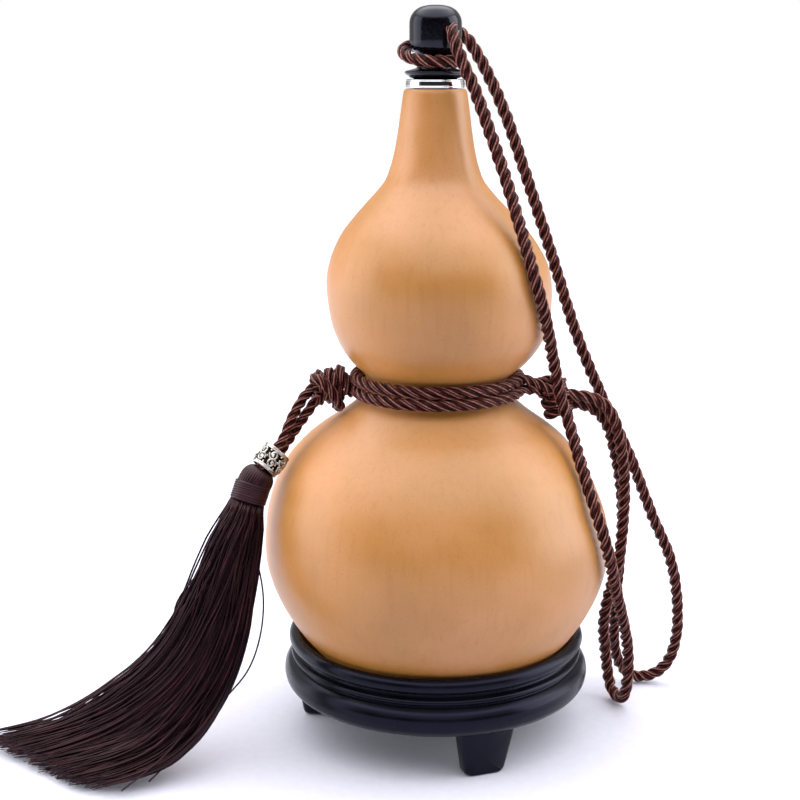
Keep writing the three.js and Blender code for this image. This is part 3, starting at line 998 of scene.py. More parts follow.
# %% Stopper body
STOPPER_PROFILE = [
    (0, 236.4), (7, 236.4), (7.8, 237.6), (7.8, 249.7), (8.8, 249.8), (10.9, 251.2), (11.2, 251.8),
    (10.9, 252.3), (7, 253.3), (6.5, 254), (6.5, 257), (7.2, 258.6), (8.4, 259.6), (9.2, 260.9),
    (9.45, 262.6), (9.45, 269.4), (9.2, 270.9), (8.5, 272.3), (7.3, 273.7), (5.4, 274.8),
    (2.8, 275.4), (0, 275.5),
]
stopper = turned_piece(
    "stopper_body", "stopper", eased(STOPPER_PROFILE, 0.7, 4), plastic, NECK_X, 160
)
print("stopper", len(stopper.data.polygons), "faces")

# %% [markdown]
# ## The cord's hole
# The strap goes through the knob from the front right to the back left. The hole is cut with a flared
# cutter, so that its mouth has a rounded lip, as a moulded hole has. The cutter is turned like any other
# piece, laid on its side, used once and thrown away.

# %% Cord hole
HOLE_TURN = 0.674  # radians from the front towards the right
HOLE_Z = 267
CUTTER = [(0, -13), (4.9, -13), (4.3, -10.2), (3.6, -9.1), (3.15, -8.2), (3.1, -7)]
cutter_profile = CUTTER + [(r, -z) for r, z in reversed(CUTTER)]
cutter_rings, _ = spin_profile(np.array(cutter_profile[1:-1], float), 48)
cutter = new_piece("hole_cutter", *skin_of_rings(cutter_rings, (0, 0, -13), (0, 0, 13)))
lay_down = Matrix.Rotation(HOLE_TURN, 4, "Z") @ Matrix.Rotation(math.radians(90), 4, "X")
cutter.data.transform(Matrix.Translation(Vector((NECK_X, 0, HOLE_Z)) * MM) @ lay_down)
cut = stopper.modifiers.new("cord_hole", "BOOLEAN")
cut.operation, cut.object, cut.solver = "DIFFERENCE", cutter, "EXACT"
cut_mesh = bpy.data.meshes.new_from_object(stopper.evaluated_get(bpy.context.evaluated_depsgraph_get()))
stopper.modifiers.clear()
stopper.data = cut_mesh
bpy.data.objects.remove(cutter)
cut_mesh.polygons.foreach_set("use_smooth", [True] * len(cut_mesh.polygons))
print("stopper", len(cut_mesh.polygons), "faces")

# %% [markdown]
# ## Silver bead: two finishes
# The bead is silver-plated metalwork, blackened in a bath and then rubbed, so the high places are bright. The
# gaps
# are dark with painted shade: a black core behind them stands for the cord inside and the bead's inner
# shadow.
# The scrolls and the core get a finish each. Both are metals; the bright one keeps some tarnish where a noise
# says so, and is duller there.

# %% Silver finishes
TARNISH, CORE_MOTTLE = 1.43, 1.11  # mm from spot to spot


def antique_silver():
    """Silver-plated alloy, blackened in its hollows and rubbed bright on its high places."""
    material, tree, shader = start_finish("antiqued_silver", Metallic=1.0, Roughness=0.25)
    where = add_node(tree, "ShaderNodeTexCoord")
    tarnish = add_node(
        tree,
        "ShaderNodeTexNoise",
        None,
        {"Scale": per_metre(TARNISH), "Detail": 4.0},
        {"Vector": (where, "Object")},
    )
    tone = add_node(tree, "ShaderNodeValToRGB", None, None, {"Fac": (tarnish, "Fac")})
    colour_stops(tone, [(0.35, "#6d6862"), (0.55, "#d6d2cb")])
    tree.links.new(tone.outputs["Color"], shader.inputs["Base Color"])
    dull = add_node(
        tree,
        "ShaderNodeMapRange",
        None,
        {"From Min": 0.35, "From Max": 0.65, "To Min": 0.42, "To Max": 0.18},
        {"Value": (tarnish, "Fac")},
    )
    tree.links.new(dull.outputs["Result"], shader.inputs["Roughness"])
    return material


def bead_core_painted_shade():
    """The core behind the scrolls: painted shade, black for the cord inside and the shadow within the bead.
    """
    material, tree, shader = start_finish("bead_core_painted_shade", Metallic=1.0, Roughness=0.5)
    where = add_node(tree, "ShaderNodeTexCoord")
    core_mottle = add_node(
        tree,
        "ShaderNodeTexNoise",
        None,
        {"Scale": per_metre(CORE_MOTTLE), "Detail": 3.0},
        {"Vector": (where, "Object")},
    )
    tone = add_node(tree, "ShaderNodeValToRGB", None, None, {"Fac": (core_mottle, "Fac")})
    # Painted shade: the core's near-black stands for the cord and the shadow inside the bead.
    colour_stops(tone, [(0.4, "#14110f"), (0.7, "#3a3530")])
    tree.links.new(tone.outputs["Color"], shader.inputs["Base Color"])
    return material


silver, core_shade_finish = antique_silver(), bead_core_painted_shade()
print("made", silver.name, "and", core_shade_finish.name)

# %% [markdown]
# ## Wires and balls
# Scrolls, rims and tassel threads are all round wires along a line, and the solder drops are small balls.
# Many of them are joined into one mesh, which is far lighter for Blender than hundreds of objects. A part
# drawn upright about the origin is then moved onto its own axis.


# %% Wires and balls
def along_axis(start, end):
    """Three directions: two across and one along the line."""
    along = unit(end - start)
    side = unit(np.cross(along, (0.0, 0.0, 1.0)))
    return side, np.cross(along, side), along


def placed(points, start, end):
    """Points drawn about +Z from the origin, moved to start with +Z towards end."""
    return np.array(start) + np.asarray(points) @ np.array(along_axis(start, end))


def wire_mesh(line, radius, sides=8, closed=False, taper=None):
    """A plain round wire along a line."""
    tangent, side, up = carried_frames(line)
    if closed:
        side = unit(np.stack([line[:, 0], line[:, 1], 0 * line[:, 0]], 1))
        up = np.cross(unit(np.roll(line, -1, 0) - np.roll(line, 1, 0)), side)
    a = np.linspace(0, 2 * math.pi, sides, endpoint=False)
    r = np.full(len(line), radius) if taper is None else radius * taper
    points = line[:, None] + r[:, None, None] * (
        np.cos(a)[None, :, None] * side[:, None] + np.sin(a)[None, :, None] * up[:, None]
    )
    vertices = points.reshape(-1, 3)
    if not closed:
        vertices = np.vstack([vertices, line[0], line[-1]])
    return vertices, tube_faces(len(line), sides, closed)


def joined(parts):
    """One vertex list and one face list from several."""
    vertices, faces, count = [], [], 0
    for part_vertices, part_faces in parts:
        vertices.append(np.asarray(part_vertices))
        faces += [tuple(i + count for i in f) for f in part_faces]
        count += len(part_vertices)
    return np.vstack(vertices), faces


def ball_mesh(middle, radius, rings=6, sides=10):
    """A small solid ball."""
    lift = np.linspace(-math.pi / 2, math.pi / 2, rings + 2)[1:-1]
    profile = np.stack([radius * np.cos(lift), radius * np.sin(lift)], 1)
    spun, _ = spin_profile(profile, sides)
    vertices, faces = skin_of_rings(spun, (0, 0, -radius), (0, 0, radius))
    return vertices + np.array(middle), faces


print("a ball has", len(ball_mesh((0, 0, 0), 1)[1]), "faces")

# %% [markdown]
# ## The bead's scrolls
# The bead is pierced: a barrel of thin scrolls and tiny balls soldered between two rims. The scrolls are
# real wires, because a bump could not give the bead its broken edge. Seven pairs go round it, one curling
# up and one curling down, each with a ball at its heart.

# %% Bead scrolls
BEAD_FROM = np.array((-59.5, -15.55, 114.2))
BEAD_TO = np.array((-64.7, -18.75, 108.25))
bead_long = float(np.linalg.norm(BEAD_TO - BEAD_FROM))
SCROLLS = 7
SCROLL_TURNS = 1.35
SCROLL_WIRE_R = 0.38
RIM_WIRES = ((0.04, 0.5), (0.96, 0.5), (0.12, 0.3), (0.88, 0.3))  # height from 0 to 1, wire radius


def barrel(place, height):
    """A point on the bead's barrel: place is an angle, height from 0 to 1, both may be arrays."""
    r = 4.35 + 1.15 * np.sqrt(np.clip(1 - (2 * height - 1) ** 2 * 0.86, 0, 1))
    return np.stack([r * np.cos(place), r * np.sin(place), height * bead_long], -1)


bead_parts = []
for k in range(SCROLLS):
    middle = 2 * math.pi * k / SCROLLS
    between = middle + math.pi / SCROLLS
    for way, low in ((1, 0.33), (-1, 0.67)):
        t = np.linspace(0, 1, 34)
        swing = t * 2 * math.pi * SCROLL_TURNS
        reach = 0.36 * (1 - 0.72 * t)
        place = middle + way * (0.10 + reach * np.cos(swing)) * 0.9
        level = low + way * reach * np.sin(swing) * 0.62
        bead_parts.append(wire_mesh(barrel(place, np.clip(level, 0.08, 0.92)), SCROLL_WIRE_R, 7))
        bead_parts.append(ball_mesh(barrel(np.array(middle + way * 0.1), np.array(low)), 0.55))
    for level, radius in ((0.5, 0.5), (0.2, 0.42), (0.8, 0.42)):
        bead_parts.append(ball_mesh(barrel(np.array(between), np.array(level)), radius))
ring_place = np.linspace(0, 2 * math.pi, 64, endpoint=False)
for level, thick in RIM_WIRES:
    bead_parts.append(wire_mesh(barrel(ring_place, np.full(64, level)), thick, 8, closed=True))
scroll_vertices, scroll_faces = joined(bead_parts)
bead = new_piece("bead_scrolls", placed(scroll_vertices, BEAD_FROM, BEAD_TO), scroll_faces, silver)
dress(bead, "tassel_bead")
print("bead", len(bead.data.polygons), "faces")

# %% [markdown]
# ## The bead's core
# Behind the scrolls is a plain black barrel, a little smaller than they are. It keeps the bead from being
# seen through, as the cord inside the real one does, and gives the scrolls a dark ground: its black is
# painted shade for the cord and the shadow inside the bead.

# %% Bead core
core_profile = [(0, 0.15), (3, 0.15), (4.25, 0.4), (4.9, 2.4), (4.95, bead_long / 2), (4.9, bead_long - 2.4)]
core_profile += [(4.25, bead_long - 0.4), (3, bead_long - 0.15), (0, bead_long - 0.15)]
core_rings, _ = spin_profile(np.array(eased(core_profile, 0.8)[1:-1]), 48)
core_skin = skin_of_rings(core_rings, (0, 0, 0.15), (0, 0, bead_long - 0.15))
core = new_piece("bead_core", placed(core_skin[0], BEAD_FROM, BEAD_TO), core_skin[1], core_shade_finish)
dress(core, "tassel_bead")
print("core", len(core.data.polygons), "faces")

# %% [markdown]
# ## Rayon tassel
# The tassel is a hank of rayon thread folded over the cord, bound with more thread below the fold, and cut
# straight at the end. Rayon is nearly black here, with a burgundy shine that runs along the threads. The
# dye is a noise stretched along each thread, so that neighbouring threads differ and each one is even.

# %% Tassel thread finish
DYE_SPOT = 0.588  # mm across a thread
DYE_SQUEEZE = 0.03  # of the pattern along a thread, which makes each spot 33 times as long as wide


def tassel_thread(name, dark, middle, light):
    """Rayon floss: nearly black aubergine with a burgundy shine along the threads."""
    material, tree, shader = start_finish(
        name, Roughness=0.34, IOR=1.5, Specular_IOR_Level=0.55, Specular_Tint=linear("#c49aa4")
    )
    laid = add_node(tree, "ShaderNodeTexCoord")
    stretch = add_node(
        tree, "ShaderNodeMapping", None, {"Scale": (1.0, DYE_SQUEEZE, 1.0)}, {"Vector": (laid, "UV")}
    )
    dye = add_node(
        tree,
        "ShaderNodeTexNoise",
        None,
        {"Scale": 1 / DYE_SPOT, "Detail": 3.0},
        {"Vector": (stretch, "Vector")},
    )
    tone = add_node(tree, "ShaderNodeValToRGB", None, None, {"Fac": (dye, "Fac")})
    colour_stops(tone, [(0.34, dark), (0.52, middle), (0.7, light)])
    tree.links.new(tone.outputs["Color"], shader.inputs["Base Color"])
    return material


floss = tassel_thread("aubergine_rayon_floss", "#050203", "#12080b", "#3c1c25")
band_floss = tassel_thread("purple_brown_floss", "#10060a", "#211016", "#3a1f27")
print("made", floss.name, "and", band_floss.name)

# %% [markdown]
# ## The tassel's head
# The fold is a smooth dome with threads running down it, forty ridges round its side. Real ridges this fine
# could be a bump, but they also break up the dome's edge against the light, so they are in the mesh.

# %% Tassel head
HEAD_TO = np.array((-68.6, -21, 102.5))
head_long = float(np.linalg.norm(HEAD_TO - BEAD_TO))
RIDGES = 40
HEAD_LAP = 1.2  # the head reaches this far under the binding
head_outline = [
    (1.5, 0, 0.1), (3.6, 0, 0.25), (4.9, 0, 1.1), (5.8, 0, 2.4), (6.25, 0, 4), (6.3, 0, 5.6),
    (6.0, 0, head_long + HEAD_LAP),
]
head_profile = smooth_line(head_outline, 0.35)[:, (0, 2)]
head_rings, turn = spin_profile(head_profile, RIDGES * 6)
ridge = 0.16 * np.abs(np.cos(turn * RIDGES / 2)) - 0.08
ridge = ridge[None, :] * np.clip(head_profile[:, 0] / 5, 0, 1)[:, None]
head_rings[..., :2] *= (1 + ridge / np.maximum(head_profile[:, 0], 1)[:, None])[..., None]
head_skin = skin_of_rings(head_rings, (0, 0, 0.1), (0, 0, head_long + HEAD_LAP))
head_uv = np.stack(
    [np.tile(turn * 6, len(head_profile)), np.repeat(head_profile[:, 1], len(turn))], 1
)
head = new_piece(
    "tassel_fold",
    placed(head_skin[0], BEAD_TO, HEAD_TO),
    head_skin[1],
    floss,
    uv=np.vstack([head_uv, (0, 0), (0, 9)]),
)
dress(head, "tassel_head")
print("tassel head", len(head.data.polygons), "faces")

# %% [markdown]
# ## The tassel's binding
# A band of thread is wound round the hank to hold it. It is one wire on a helix, with each turn pressed into
# the next, over a plain core that closes the gaps.

# %% Tassel binding
BINDING_TO = np.array((-70.5, -22.4, 96.9))
BAND_R = 6.35
TURN_PITCH = 0.85
band_from = HEAD_TO - unit(BINDING_TO - HEAD_TO) * 0.9
band_long = float(np.linalg.norm(BINDING_TO - band_from))
wind = np.linspace(0, band_long / TURN_PITCH, 900)
wind_line = np.stack(
    [BAND_R * np.cos(2 * math.pi * wind), BAND_R * np.sin(2 * math.pi * wind), wind * TURN_PITCH], 1
)
band_parts = [wire_mesh(wind_line, 0.5, 8)]
band_core = spin_profile(np.array([(6.2, 0.0), (6.3, band_long)]), 64)[0]
band_parts.append(skin_of_rings(band_core, (0, 0, 0), (0, 0, band_long)))
band_vertices, band_faces = joined(band_parts)
band_run = np.repeat(wind, 8) * 40
band_uv = np.zeros((len(band_vertices), 2))
band_uv[: len(band_run), 1] = band_run
band_uv[: len(band_run), 0] = np.tile(np.arange(8) * 0.4, len(wind))
band = new_piece(
    "tassel_band", placed(band_vertices, band_from, BINDING_TO), band_faces, band_floss, uv=band_uv
)
dress(band, "tassel_binding")
print("tassel band", len(band.data.polygons), "faces")

# %% [markdown]
# ## The skirt's envelope
# The skirt hangs from the band, meets the table and fans out over it. Its shape is a row of oval sections
# along a bent middle line. Each section has a middle, a half width as a direction, and a half thickness
# across it. All the threads are then laid inside this envelope.

# %% Skirt envelope
SKIRT_SECTIONS = [
    ((-70.4, -22.3, 97.4), (6.0, 0, -2.0), 5.9),
    ((-70.9, -22.75, 95.6), (6.3, 0, -2.1), 6.2),
    ((-72.4, -24, 90), (8.2, 0, -2.6), 7.4),
    ((-75, -26.4, 82.4), (10, -0.4, -3), 8),
    ((-78.6, -29.4, 70), (11.4, -1, -3.4), 8.4),
    ((-82.6, -32.6, 56), (12.6, -2, -4.6), 8.8),
    ((-87.6, -35.2, 43.6), (13.6, -3.6, -6.2), 8.8),
    ((-94.6, -37.4, 32), (15, -6, -7.4), 8.4),
    ((-104, -39.6, 21.8), (17, -9.6, -7.4), 7.4),
    ((-115, -41.8, 13.6), (19.6, -13.6, -5.4), 6.2),
    ((-128, -43.6, 8), (22.6, -17.4, -2.6), 5),
    ((-141.6, -45, 5), (25, -20.4, -0.8), 3.6),
    ((-151.5, -46.2, 3.9), (26.6, -22, -0.4), 2.8),
]
section_middle = smooth_line([s[0] for s in SKIRT_SECTIONS], 1.0)
section_steps = zip(SKIRT_SECTIONS, SKIRT_SECTIONS[1:])
between_sections = [np.linalg.norm(np.subtract(b[0], a[0])) for a, b in section_steps]
run = np.concatenate([[0], np.cumsum(between_sections)])
place = np.linspace(0, run[-1], len(section_middle))
wide = np.stack(
    [np.interp(place, run, [s[1][k] for s in SKIRT_SECTIONS]) for k in range(3)], 1
)
thick = np.interp(place, run, [s[2] for s in SKIRT_SECTIONS])
deep = unit(np.cross(np.gradient(section_middle, axis=0), wide)) * thick[:, None]
print("the skirt is", round(run[-1]), "mm long")

# %% [markdown]
# ## The skirt's threads
# Each thread is its own thin tube, 0.76 mm thick where real ones are finer, so that the skirt reads as
# thread. Threads keep together in locks, which is what real ones do: each starts at its own place under the
# band and gathers towards its lock on the way down. They end at slightly different lengths.

# %% Skirt threads
random_source = random.Random(7)
THREADS, LOCKS = 750, 66
THREAD_R, THREAD_SIDES, THREAD_STEPS = 0.38, 4, 32
IN_LOCK_AT = 0.35  # share of its length by which a thread lies in its lock
LAID_LENGTH, LAID_SIDE = 150, 0.3  # mm of pattern along a thread, and over each of its sides
TABLE_GAP = 0.75  # mm from the table to the middle of the lowest thread
locks = []
for _ in range(LOCKS):
    rho, angle = math.sqrt(random_source.uniform(0.2, 1)), random_source.uniform(0, 2 * math.pi)
    locks.append((rho, angle, random_source.uniform(0, 6.28), random_source.uniform(0.5, 1.0)))
thread_parts, thread_uv = [], []
share = np.linspace(0, 1, THREAD_STEPS)
for n in range(THREADS):
    rho, angle, phase, sway = locks[n % LOCKS]
    a0, r0 = random_source.uniform(0, 2 * math.pi), math.sqrt(random_source.uniform(0.0, 1))
    own = np.array([r0 * math.cos(a0), r0 * math.sin(a0)])
    lock = np.array([rho * math.cos(angle), rho * math.sin(angle)])
    gather = np.clip(share / IN_LOCK_AT, 0, 1)[:, None]
    spot = own * (1 - gather) * 0.96 + gather * (0.9 * lock + 0.24 * own)
    spot = spot + 0.1 * sway * gather * np.stack(
        [np.sin(phase + share * 7), np.cos(phase * 1.7 + share * 6)], 1
    )
    over = np.maximum(np.linalg.norm(spot, axis=1, keepdims=True), 1e-6)
    spot = spot / np.maximum(over / 1.04, 1.0)
    end = 1 - random_source.uniform(0, 0.05) - 0.02 * (1 - sway)
    at = share * end * (len(section_middle) - 1)
    low = np.minimum(at.astype(int), len(section_middle) - 2)
    mix = (at - low)[:, None]
    centre = section_middle[low] * (1 - mix) + section_middle[low + 1] * mix
    w = wide[low] * (1 - mix) + wide[low + 1] * mix
    d = deep[low] * (1 - mix) + deep[low + 1] * mix
    line = centre + spot[:, :1] * w + spot[:, 1:] * d
    line[:, 2] = np.maximum(line[:, 2], TABLE_GAP)
    taper = np.clip((1 - share) * 12, 0.45, 1)
    vertices, faces = wire_mesh(line, THREAD_R, THREAD_SIDES, taper=taper)
    thread_parts.append((vertices, faces))
    v = np.repeat(share * LAID_LENGTH, THREAD_SIDES)
    u = np.tile(np.arange(THREAD_SIDES) * LAID_SIDE, len(share)) + random_source.uniform(0, 400)
    thread_uv.append(np.vstack([np.stack([u, v], 1), (u[0], 0), (u[0], LAID_LENGTH)]))
print(THREADS, "threads in", LOCKS, "locks")

# %% [markdown]
# ## Stray threads and the dark heart
# A few threads have left their locks and hang beside the skirt. Inside, the hank is solid; a dark heart
# stands in for the threads that nobody sees, and keeps light from showing through.

# %% Strays and heart
STRAY_THREADS = [
    [
        (-71.5, -25, 92), (-66.9, -28.5, 76), (-64.6, -31, 62), (-66, -33, 47.5), (-70.6, -35, 35),
        (-80, -38, 24),
    ],
    [
        (-79, -27, 90), (-90.2, -30.6, 69), (-95.6, -32, 58), (-104, -34, 45), (-118, -37, 33),
        (-137, -40, 20),
    ],
    [
        (-76, -25, 92), (-87, -29, 73.5), (-96.6, -31, 60.4), (-99.4, -32, 48), (-113, -36, 30),
        (-134, -40, 14),
    ],
    [(-78.6, -29, 60), (-77.6, -36, 44), (-82, -42, 31), (-88, -50, 18), (-96, -55, 10), (-104, -62, 4)],
    [(-80.6, -30, 60), (-80.6, -38, 42), (-86, -46, 27), (-96, -54, 14), (-106, -62, 7), (-113, -67, 3)],
]
STRAY_R, STRAY_SIDES, STRAY_STEP = 0.34, 5, 2.0
for points in STRAY_THREADS:
    line = smooth_line(points, STRAY_STEP)
    thread_parts.append(wire_mesh(line, STRAY_R, STRAY_SIDES))
    run_along = np.repeat(np.arange(len(line)) * STRAY_STEP, STRAY_SIDES)
    round_thread = np.tile(np.arange(STRAY_SIDES) * LAID_SIDE, len(line))
    thread_uv.append(np.vstack([np.stack([round_thread, run_along], 1), (0, 0), (0, 90)]))
heart_at = np.linspace(0, len(section_middle) - 26, 40).astype(int)
heart_turn = np.linspace(0, 2 * math.pi, 16, endpoint=False)
heart = (
    section_middle[heart_at][:, None]
    + 0.72 * np.cos(heart_turn)[None, :, None] * wide[heart_at][:, None]
    + 0.66 * np.sin(heart_turn)[None, :, None] * deep[heart_at][:, None]
)
heart[..., 2] = np.maximum(heart[..., 2], 0.9)
thread_parts.append(skin_of_rings(heart, heart[0].mean(0), heart[-1].mean(0)))
thread_uv.append(np.zeros((heart.shape[0] * heart.shape[1] + 2, 2)))
skirt_vertices, skirt_faces = joined(thread_parts)
skirt = new_piece("tassel_threads", skirt_vertices, skirt_faces, floss, uv=np.vstack(thread_uv))
dress(skirt, "tassel_skirt")
print("skirt", len(skirt.data.polygons), "faces")

# %% [markdown]
# ## What the tassel's cords carry
# The two cords are free cords: they hang from the knot and end in the tassel, and the bead and the head hang
# on them.

print("the tassel's cords carry the bead and the head")

# %% [markdown]
# ## Black lacquer
# The stand was turned on a lathe from a light wood and sprayed with black satin lacquer. The film is smooth
# and slightly blue, with a soft shine. The grain and the turning marks under it show only as very faint
# rings, so they are a weak bump squeezed along the height.

# %% Lacquer finish
HAZE = 16.7  # mm from cloud to cloud
RING_WIDE, RING_LONG = 0.714, 16.7  # mm; rings finer than this wouldn't show


def black_lacquer():
    """Sprayed satin lacquer over turned wood: blue-black, soft shine, faint rings and nibs."""
    material, tree, shader = start_finish(
        "black_satin_lacquer",
        Roughness=0.3,
        IOR=1.45,
        Specular_IOR_Level=0.3,
        Specular_Tint=linear("#b0aee4"),
    )
    where = add_node(tree, "ShaderNodeTexCoord")
    haze = add_node(
        tree,
        "ShaderNodeTexNoise",
        None,
        {"Scale": per_metre(HAZE), "Detail": 4.0},
        {"Vector": (where, "Object")},
    )
    tone = add_node(tree, "ShaderNodeValToRGB", None, None, {"Fac": (haze, "Fac")})
    colour_stops(tone, [(0.35, "#050507"), (0.7, "#0b0b10")])
    tree.links.new(tone.outputs["Color"], shader.inputs["Base Color"])
    flat = add_node(
        tree,
        "ShaderNodeMapping",
        None,
        {"Scale": (per_metre(RING_LONG), per_metre(RING_LONG), per_metre(RING_WIDE))},
        {"Vector": (where, "Object")},
    )
    turning = add_node(
        tree, "ShaderNodeTexNoise", None, {"Scale": 1.0, "Detail": 3.0}, {"Vector": (flat, "Vector")}
    )
    satin = add_node(
        tree,
        "ShaderNodeMapRange",
        None,
        {"From Min": 0.3, "From Max": 0.7, "To Min": 0.24, "To Max": 0.36},
        {"Value": (haze, "Fac")},
    )
    tree.links.new(satin.outputs["Result"], shader.inputs["Roughness"])
    bump = add_node(
        tree, "ShaderNodeBump", None, {"Strength": 0.1, "Distance": 0.0001}, {"Height": (turning, "Fac")}
    )
    tree.links.new(bump.outputs["Normal"], shader.inputs["Normal"])
    return material


lacquer = black_lacquer()
print("made", lacquer.name)

# %% [markdown]
# ## The stand's ring
# A thick roll grips the gourd, a thin bead sits in a groove under it, and a wide belly rests on three feet.
# Inside, the ring is a shallow dish that follows the gourd's base. Lacquer rounds every edge a little, so
# each corner is eased.

# %% Stand ring
STAND_PROFILE = [
    (0, 18.2), (55.5, 18.2), (57.6, 19.2), (58.9, 21), (59.4, 23.6), (59.1, 26), (57.9, 28),
    (56.2, 29.1), (55.4, 29.5), (55.4, 30), (56.5, 30.6), (56.8, 31.4), (56.4, 32.2), (55.2, 32.7),
    (54.5, 33.3), (54.5, 34.1), (55.8, 34.6), (57.1, 35.7), (57.5, 37.2), (57, 38.8), (55.7, 39.9),
    (54.4, 40.1), (53.5, 39.6), (52, 37), (48.3, 32.2), (42, 26.8), (36, 23), (30, 21.6), (0, 21.4),
]
stand = turned_piece(
    "stand_ring", "stand", eased(STAND_PROFILE, 0.8, 4), lacquer, 0, 192
)
print("stand ring", len(stand.data.polygons), "faces")

# %% [markdown]
# ## The stand's feet
# Three feet are sawn from board, narrower at the sole, and set with a slight lean under the belly. Each is
# an outline stacked in layers from its inner to its outer face; the first and the last layer are a little
# smaller, which rounds the edges. One foot is made three times, a third of a turn apart.

# %% Stand feet
FOOT_R, FOOT_TOP, FOOT_LEAN, FOOT_THICK = 49.5, 17.9, 0.14, 7.5
FOOT_TURN = 0.34  # radians from the front to the first foot
FOOT_OUTLINE = [
    (-11, 17.9), (-10.4, 14.9), (-7.8, 1.2), (-6.3, 0), (6.3, 0), (7.8, 1.2), (10.4, 14.9), (11, 17.9),
]
FOOT_LAYERS = ((1.3, -1), (0.35, -0.8), (0, -0.5), (0, 0.5), (0.35, 0.8), (1.3, 1))  # inset, place
outline = eased(FOOT_OUTLINE, 1.0, 4)
layers = []
for inset, out in FOOT_LAYERS:
    ring = []
    for x, z in outline:
        lift = inset * (1 - z / FOOT_TOP) * 0.35
        y = out * FOOT_THICK / 2
        zz = z + lift if z < FOOT_TOP - 0.1 else z
        ring.append((x * (1 - inset / 9), -(FOOT_R + y) - FOOT_LEAN * (zz - FOOT_TOP / 2), zz))
    layers.append(ring)
rings = np.array(layers)
vertices, faces = skin_of_rings(rings, rings[0].mean(0), rings[-1].mean(0))
for number in range(3):
    spin = FOOT_TURN + 2 * math.pi * number / 3
    c, s = math.cos(spin), math.sin(spin)
    turned_xy = vertices[:, :2] @ np.array([[c, s], [-s, c]])
    foot = new_piece(
        f"stand_leg_{number + 1}", np.column_stack([turned_xy, vertices[:, 2]]), faces, lacquer
    )
    foot.data.set_sharp_from_angle(angle=math.radians(40))
    dress(foot, f"stand_foot_{number + 1}")
print("three feet of", len(foot.data.polygons), "faces")

# %% [markdown]
# ## The table
# The flask stands on a white table, plain and matt, much larger than the view. Its white is a cool one, and
# darker than paper, because the light from above is strong.

# %% Floor
GRAIN = 3.33  # mm from spot to spot
floor_material, floor_tree, floor_shader = start_finish(
    "matt_white_table", Roughness=0.75, Specular_IOR_Level=0.2
)
floor_where = add_node(floor_tree, "ShaderNodeTexCoord")
floor_grain = add_node(
    floor_tree,
    "ShaderNodeTexNoise",
    None,
    {"Scale": per_metre(GRAIN), "Detail": 2.0},
    {"Vector": (floor_where, "Object")},
)
floor_tone = add_node(floor_tree, "ShaderNodeValToRGB", None, None, {"Fac": (floor_grain, "Fac")})
colour_stops(floor_tone, [(0.3, "#c4c4d1"), (0.7, "#c8c8d5")])
floor_tree.links.new(floor_tone.outputs["Color"], floor_shader.inputs["Base Color"])
FLOOR_HALF = 6000
floor_corners = [(x * FLOOR_HALF, y * FLOOR_HALF, 0) for x, y in ((-1, -1), (1, -1), (1, 1), (-1, 1))]
floor = new_piece("table_top", floor_corners, [(0, 1, 2, 3)], floor_material, smooth=False)
print("table", 2 * FLOOR_HALF * MM, "m across")

# %% [markdown]
# ## Lamps
# Large soft lamps stand at both sides, and there is less light from the front, where the viewer is. That is
# why the middle of each lobe is deeper in colour than its sides. The tassel would shade the gourd's left
# side, so two weak reflectors open it up; they cast no shadow of their own and aren't seen.


# %% Lamps
def softbox(name, at, aim, width, height, power):
    """A large soft lamp at a place, in metres, facing another."""
    lamp = bpy.data.lights.new(name, "AREA")
    lamp.shape, lamp.size, lamp.size_y, lamp.energy = "RECTANGLE", width, height, power
    box = bpy.data.objects.new(name, lamp)
    bpy.context.collection.objects.link(box)
    box.location = at
    box.rotation_euler = (Vector(aim) - Vector(at)).to_track_quat("-Z", "Y").to_euler()
    return box


softbox("left_softbox", (-1.5, 0.05, 0.4), (0, 0, 0.13), 1.3, 1.4, 10)
softbox("right_softbox", (1.5, -0.05, 0.5), (0, 0, 0.13), 1.3, 1.4, 21)
for name, at, aim, size, power in (
    ("left_reflector", (-1.2, 0, 0.15), (0, 0, 0.1), 0.9, 5.5),
    ("low_reflector", (-0.36, 0.04, 0.05), (-0.06, 0, 0.07), 0.25, 0.42),
):
    reflector = softbox(name, at, aim, size, size, power)
    reflector.data.use_shadow = False
    reflector.visible_glossy = False
    reflector.visible_camera = False

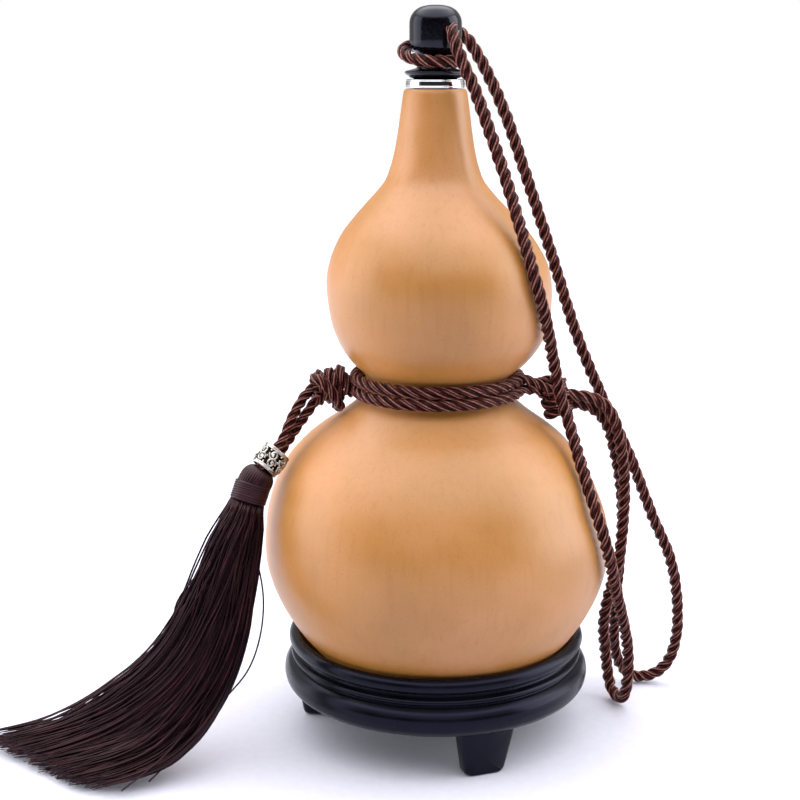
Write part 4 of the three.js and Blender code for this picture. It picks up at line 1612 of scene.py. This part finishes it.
# %% [markdown]
# ## The white tent
# Around the table is a white tent. Its walls are bright at the sides and behind, dim in front, and its roof
# is brightest of all. The world is made of that: each direction has its own strength, so nothing has to be
# modelled. What looks straight at the tent sees plain white.

# %% White tent
world = bpy.data.worlds.new("white_tent")
bpy.context.scene.world = world
world.use_nodes = True
sky = world.node_tree
for node in list(sky.nodes):
    sky.nodes.remove(node)
out = add_node(sky, "ShaderNodeOutputWorld")
direction = add_node(sky, "ShaderNodeTexCoord")
axes = add_node(sky, "ShaderNodeSeparateXYZ", links={"Vector": (direction, "Generated")})
walls = add_node(
    sky,
    "ShaderNodeMapRange",
    {"interpolation_type": "SMOOTHSTEP"},
    {"From Min": -0.6, "From Max": 0.2, "To Min": 0.03, "To Max": 0.72},
    {"Value": (axes, "Y")},
)
far_wall = add_node(
    sky,
    "ShaderNodeMapRange",
    {"interpolation_type": "SMOOTHSTEP"},
    {"From Min": 0.5, "From Max": 0.85, "To Min": 1.0, "To Max": 0.6},
    {"Value": (axes, "Y")},
)
sides = add_node(
    sky, "ShaderNodeMath", {"operation": "MULTIPLY"}, None, {0: (walls, "Result"), 1: (far_wall, "Result")}
)
roof = add_node(
    sky,
    "ShaderNodeMapRange",
    {"interpolation_type": "SMOOTHSTEP"},
    {"From Min": 0.45, "From Max": 0.78, "To Min": 0.0, "To Max": 2.9},
    {"Value": (axes, "Z")},
)
tent = add_node(
    sky, "ShaderNodeMath", {"operation": "ADD"}, None, {0: (sides, "Value"), 1: (roof, "Result")}
)
seen = add_node(sky, "ShaderNodeBackground", None, {"Color": (1, 1, 1, 1), "Strength": 1.0})
lit = add_node(
    sky, "ShaderNodeBackground", None, {"Color": (1, 1, 1, 1)}, {"Strength": (tent, "Value")}
)
path = add_node(sky, "ShaderNodeLightPath")
both = add_node(
    sky, "ShaderNodeMixShader", None, None, {0: (path, "Is Camera Ray"), 1: (lit, 0), 2: (seen, 0)}
)
sky.links.new(both.outputs[0], out.inputs["Surface"])
bpy.context.scene.view_settings.view_transform = "Standard"
print("tent made with", len(sky.nodes), "nodes")
